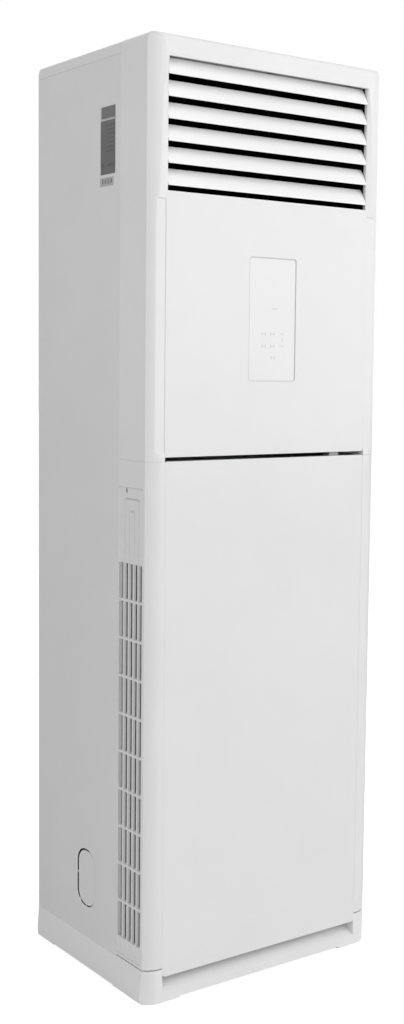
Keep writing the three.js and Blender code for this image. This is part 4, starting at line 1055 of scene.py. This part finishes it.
def make_left_side():
    """Side panel with the half-cut oval cover dished into its foot."""
    low, high = node_box("left_side_panel")
    x0, x1 = low.x, low.x + SHEET
    shape = Shape()
    half_dish = DISH_WIDE / 2
    rim = knock_out(DISH_WIDE, DISH_WIDE + REAR_GAP, DISH_WIDE + 2, x0)
    middle = knock_out(half_dish, half_dish + REAR_GAP, half_dish + 2, x0 + DISH_DEEP / 2)
    edge = knock_out(0.2, REAR_GAP, 3.0, x0 + DISH_DEEP)
    back = knock_out(0.2, REAR_GAP, 3.0, x0 + DISH_DEEP + SHEET / 3)
    sheet = [(low.y, low.z), (high.y, low.z), (high.y, high.z), (low.y, high.z)]
    shape.ring_face([(x0, u, v) for u, v in sheet], rim)
    shape.grid([rim, middle, edge, back], closed=True)
    y0, y1 = low.y + SHEET, high.y - SHEET
    inside = [(y0, low.z), (y1, low.z), (y1, high.z), (y0, high.z)]
    inner_rim = [(x1, u, v) for _, u, v in rim]
    shape.ring_face([(x1, u, v) for u, v in inside], inner_rim)
    shape.grid([inner_rim, back], closed=True)
    channel = [
        (x0, low.y), (high.x, low.y), (high.x, y0), (x1, y0),
        (x1, y1), (high.x, y1), (high.x, high.y), (x0, high.y),
    ]
    for row in (channel[:4], channel[4:]):
        shape.grid([[(x, y, low.z), (x, y, high.z)] for x, y in row])
    for z in (low.z, high.z):
        shape.face([(x, y, z) for x, y in channel])
    shape.loft([knock_out(0, 0, 0, x) for x in (x0 + DISH_DEEP, x1 + DISH_DEEP)])
    for front, rear, foot, head in BRIDGES:
        shape.block((x0 + DISH_DEEP + 0.1, front, foot), (x1 + DISH_DEEP, rear, head))
    piece = shape.done("left_side_panel_skin", "painted_steel", rounding=0.2)
    place(piece, "cabinet", "painted_steel", "left_side_panel")


GROMMET_AT = (-205.0, 140.0)
GROMMET_HOLE = 16.5
BACK_SUNK = 0.5  # leaves room for the screw heads
EMBOSSED = [(-205, 205, 1010, 1690), (-205, 205, 330, 930)]  # left, right, foot, head
EMBOSS_TURN = 30
EMBOSS_STEPS = [(0, 0), (2, 0.1), (5, 0.55), (7, 0.65)]  # inset from the edge, and depth
SCREWS = [(side * 268, z) for side in (-1, 1) for z in (100, 420, 760, 1100, 1440, 1765)]
SCREWS += [(x, z) for x in (-140, 0, 140) for z in (84, 1782)]
SCREW_STEPS = [(4.6, 0), (4.5, 0.2), (3.8, 0.38), (2, 0.44)]  # radius, and height
CROSS_HALF = (2.4, 0.4)  # the cross recess: half its length and width
CROSS_RISE = 0.47


def make_back():
    """Sheet with two pressed fields and the screws that hold it."""
    low, high = node_box("back_panel")
    face = high.y - BACK_SUNK
    shape = Shape()
    sheet = [(low.x, low.z), (high.x, low.z), (high.x, high.z), (low.x, high.z)]
    hole = arc(GROMMET_AT, GROMMET_HOLE, 0, 345, 23)
    fields = []
    for x0, x1, z0, z1 in EMBOSSED:
        rings = [
            [(u, face - deep, v)
             for u, v in rounded_outline(x0, x1, z0, z1, (EMBOSS_TURN,) * 4, inset)]
            for inset, deep in EMBOSS_STEPS
        ]
        shape.grid(rings, closed=True)
        shape.face(rings[-1])
        fields.append(rings[0])
    shape.ring_face([(u, face, v) for u, v in sheet], [(u, face, v) for u, v in hole], *fields)
    shape.grid([[(u, y, v) for u, v in sheet] for y in (face, low.y)], closed=True)
    shape.grid([[(u, y, v) for u, v in hole] for y in (face, low.y)], closed=True)
    piece = shape.done("back_panel_skin", "painted_steel")
    place(piece, "cabinet", "painted_steel", "back_panel")
    heads = Shape()
    slots = Shape()
    for x, z in SCREWS:
        rings = [
            [(u, face + rise, v) for u, v in arc((x, z), radius, 0, 342, 19)]
            for radius, rise in SCREW_STEPS
        ]
        heads.loft(rings)
        # The cross recesses are near-black blocks on the heads, painted shade in place of a real
        # recess.
        for wide, tall in (CROSS_HALF, CROSS_HALF[::-1]):
            slots.block((x - wide, face, z - tall), (x + wide, face + CROSS_RISE, z + tall))
    place(heads.done("back_screws", "galvanised"), "cabinet", "galvanised")
    place(slots.done("back_screw_slots_painted_shade", "screw_recess_painted_shade"), "cabinet", "galvanised")


LABEL_WIDER = 6.5  # the photographed plate reaches this much further forwards
LABEL_RISE = 13.0  # and its foot lies this much higher
LABEL_TOP_DROP = 2
HEAD_FIELD = 24  # its foot below the node's top
MAIN_FIELD = 28
RULED_FIELD = (22, 6)  # foot and head below the plate's foot
MARK_PROUD = 0.04
LINE_PITCH = 8
LINE_THICK = 2.0
TICK_PITCH = 5.6
TICK_WIDE = 2.2
MARKS = 7


def make_label():
    """A plain grey plate with blank fields, and a small ruled field below it."""
    low, high = node_box("rating_label")
    sheet_x = low.x + 0.15
    y0, y1 = low.y - LABEL_WIDER, high.y
    foot, top = low.z + LABEL_RISE, high.z - LABEL_TOP_DROP

    def block(shape, y0, y1, z0, z1, x=low.x):
        shape.block((x, y0, z0), (high.x, y1, z1))

    sheet = Shape()
    block(sheet, y0, y1, foot, top, sheet_x)
    block(sheet, y0 + 6, y1 + 2, foot - RULED_FIELD[0], foot - RULED_FIELD[1], sheet_x)
    place(sheet.done("rating_label_sheet", "label_pale"), "cabinet", "label_grey", "rating_label")
    head = Shape()
    block(head, y0, y1 - 3, high.z - HEAD_FIELD, top)
    place(head.done("rating_label_head", "label_block"), "cabinet", "label_grey")
    field = Shape()
    block(field, y0, y1, foot, high.z - MAIN_FIELD)
    place(field.done("rating_label_field", "label_grey"), "cabinet", "label_grey")
    dark = Shape()
    mark_x = low.x - MARK_PROUD
    block(dark, y0 + 5, y0 + 25, foot + 14, foot + 20, mark_x)
    block(dark, y1 - 14, y1 - 5, foot + 12, foot + 21, mark_x)
    for step in range(MARKS):
        z = high.z - 38 - step * LINE_PITCH
        block(dark, y0 + 4, y1 - 20 - 3 * (step % 3), z, z + LINE_THICK, mark_x)
        y = y0 + 10 + step * TICK_PITCH
        block(dark, y, y + TICK_WIDE, foot - 18, foot - 9, sheet_x - MARK_PROUD)
    place(dark.done("rating_label_marks", "label_dark"), "cabinet", "label_grey")


LINING = 2.0
JAMB_LINING = 0.5
JAMB_CLEAR = 0.15
CHAMBER_HALF = 264.0
CHAMBER = (-34.0, 210.5, 1484.0, 1796.0)  # front, back, foot and head of the upper chamber


def make_linings():
    """Dark linings on the walls of the upper chamber and on the outlet's two jambs. They stand
    for the chamber's black foam and paint the deep shade seen through the outlet.
    """
    front, back, foot, head = CHAMBER
    half = CHAMBER_HALF
    shape = Shape()
    shape.block((-half, back - LINING, foot), (half, back, head))
    shape.block((-half, front, head - LINING), (half, back, head))
    jamb = SIDE - OUTLET_JAMB - JAMB_CLEAR
    low, high = node_box("outlet_duct")
    for side in (-1, 1):
        edges = sorted((side * half, side * (half - LINING)))
        shape.block((edges[0], front, foot), (edges[1], back, head))
        edges = sorted((side * jamb, side * (jamb - JAMB_LINING)))
        shape.block((edges[0], FRONT + 13, low.z + 2), (edges[1], low.y - 0.5, high.z - 6))
    place(shape.done("chamber_lining_painted_shade", "black_plastic"), "cabinet", "black_plastic")


for name, radius in REFINED.items():
    refine(name, radius)
make_linings()
make_lower_frame()
make_base()
make_left_side()
make_back()
make_label()

# ---------------------------------------------------------------- stage and light


FLOOR_HALF = 30.0  # metres
FLOOR_LIFT = 0.66  # the floor's own light, which only the camera sees
WORLD_LEVEL = 0.42  # the surroundings' light on the object, against 1 where they are seen
# Name, place, target, size in metres, and watts.
LIGHTS = [
    ("front_softbox", (3.0, -3.6, 2.3), (0, 0, 1.0), (3.4, 3.2), 83),
    ("left_fill", (-3.3, -1.9, 1.8), (0, 0, 1.2), (1.4, 1.8), 25),
    ("top_softbox", (0.5, -1.8, 3.6), (0, -0.2, 1.2), (2.0, 2.0), 17),
]


def make_floor():
    half = FLOOR_HALF
    mesh = bpy.data.meshes.new("floor")
    outline = [(-half, -half, 0), (half, -half, 0), (half, half, 0), (-half, half, 0)]
    mesh.from_pydata(outline, [], [(0, 1, 2, 3)])
    floor = bpy.data.objects.new("floor", mesh)
    bpy.context.scene.collection.objects.link(floor)
    m = Nodes("floor_white")
    m.set(Roughness=0.9)
    m.link(m.blend(m.noise(2.0), grey(0.88), grey(0.9)), m.shader.inputs["Base Color"])
    m.set(Emission_Color=(1, 1, 1, 1))
    path = m.tree.nodes.new("ShaderNodeLightPath")
    lift = m.add("ShaderNodeMath")
    lift.operation = "MULTIPLY"
    lift.inputs[1].default_value = FLOOR_LIFT
    m.link(path.outputs["Is Camera Ray"], lift.inputs[0])
    m.link(lift.outputs[0], m.shader.inputs["Emission Strength"])
    mesh.materials.append(m.material)


def make_world():
    world = bpy.data.worlds.new("world")
    world.use_nodes = True
    bpy.context.scene.world = world
    tree = world.node_tree
    background = tree.nodes["Background"]
    path = tree.nodes.new("ShaderNodeLightPath")
    mirrored = tree.nodes.new("ShaderNodeMath")
    mirrored.operation = "MAXIMUM"
    tree.links.new(path.outputs["Is Glossy Ray"], mirrored.inputs[0])
    tree.links.new(path.outputs["Is Transmission Ray"], mirrored.inputs[1])
    seen = tree.nodes.new("ShaderNodeMath")
    seen.operation = "MAXIMUM"
    tree.links.new(path.outputs["Is Camera Ray"], seen.inputs[0])
    tree.links.new(mirrored.outputs[0], seen.inputs[1])
    strength = tree.nodes.new("ShaderNodeMapRange")
    strength.inputs["To Min"].default_value = WORLD_LEVEL
    strength.inputs["To Max"].default_value = 1.0
    tree.links.new(seen.outputs[0], strength.inputs["Value"])
    tree.links.new(strength.outputs["Result"], background.inputs["Strength"])
    background.inputs["Color"].default_value = (1, 1, 1, 1)


def area_light(name, place, target, size, power):
    data = bpy.data.lights.new(name, "AREA")
    data.shape = "RECTANGLE"
    data.size, data.size_y = size
    data.energy = power
    lamp = bpy.data.objects.new(name, data)
    lamp.location = place
    aim = Vector(target) - Vector(place)
    lamp.rotation_euler = aim.to_track_quat("-Z", "Y").to_euler()
    bpy.context.scene.collection.objects.link(lamp)


make_floor()
make_world()
for light in LIGHTS:
    area_light(*light)
bpy.context.scene.view_settings.view_transform = "Standard"

# ---------------------------------------------------------------- final update

bpy.context.view_layer.update()
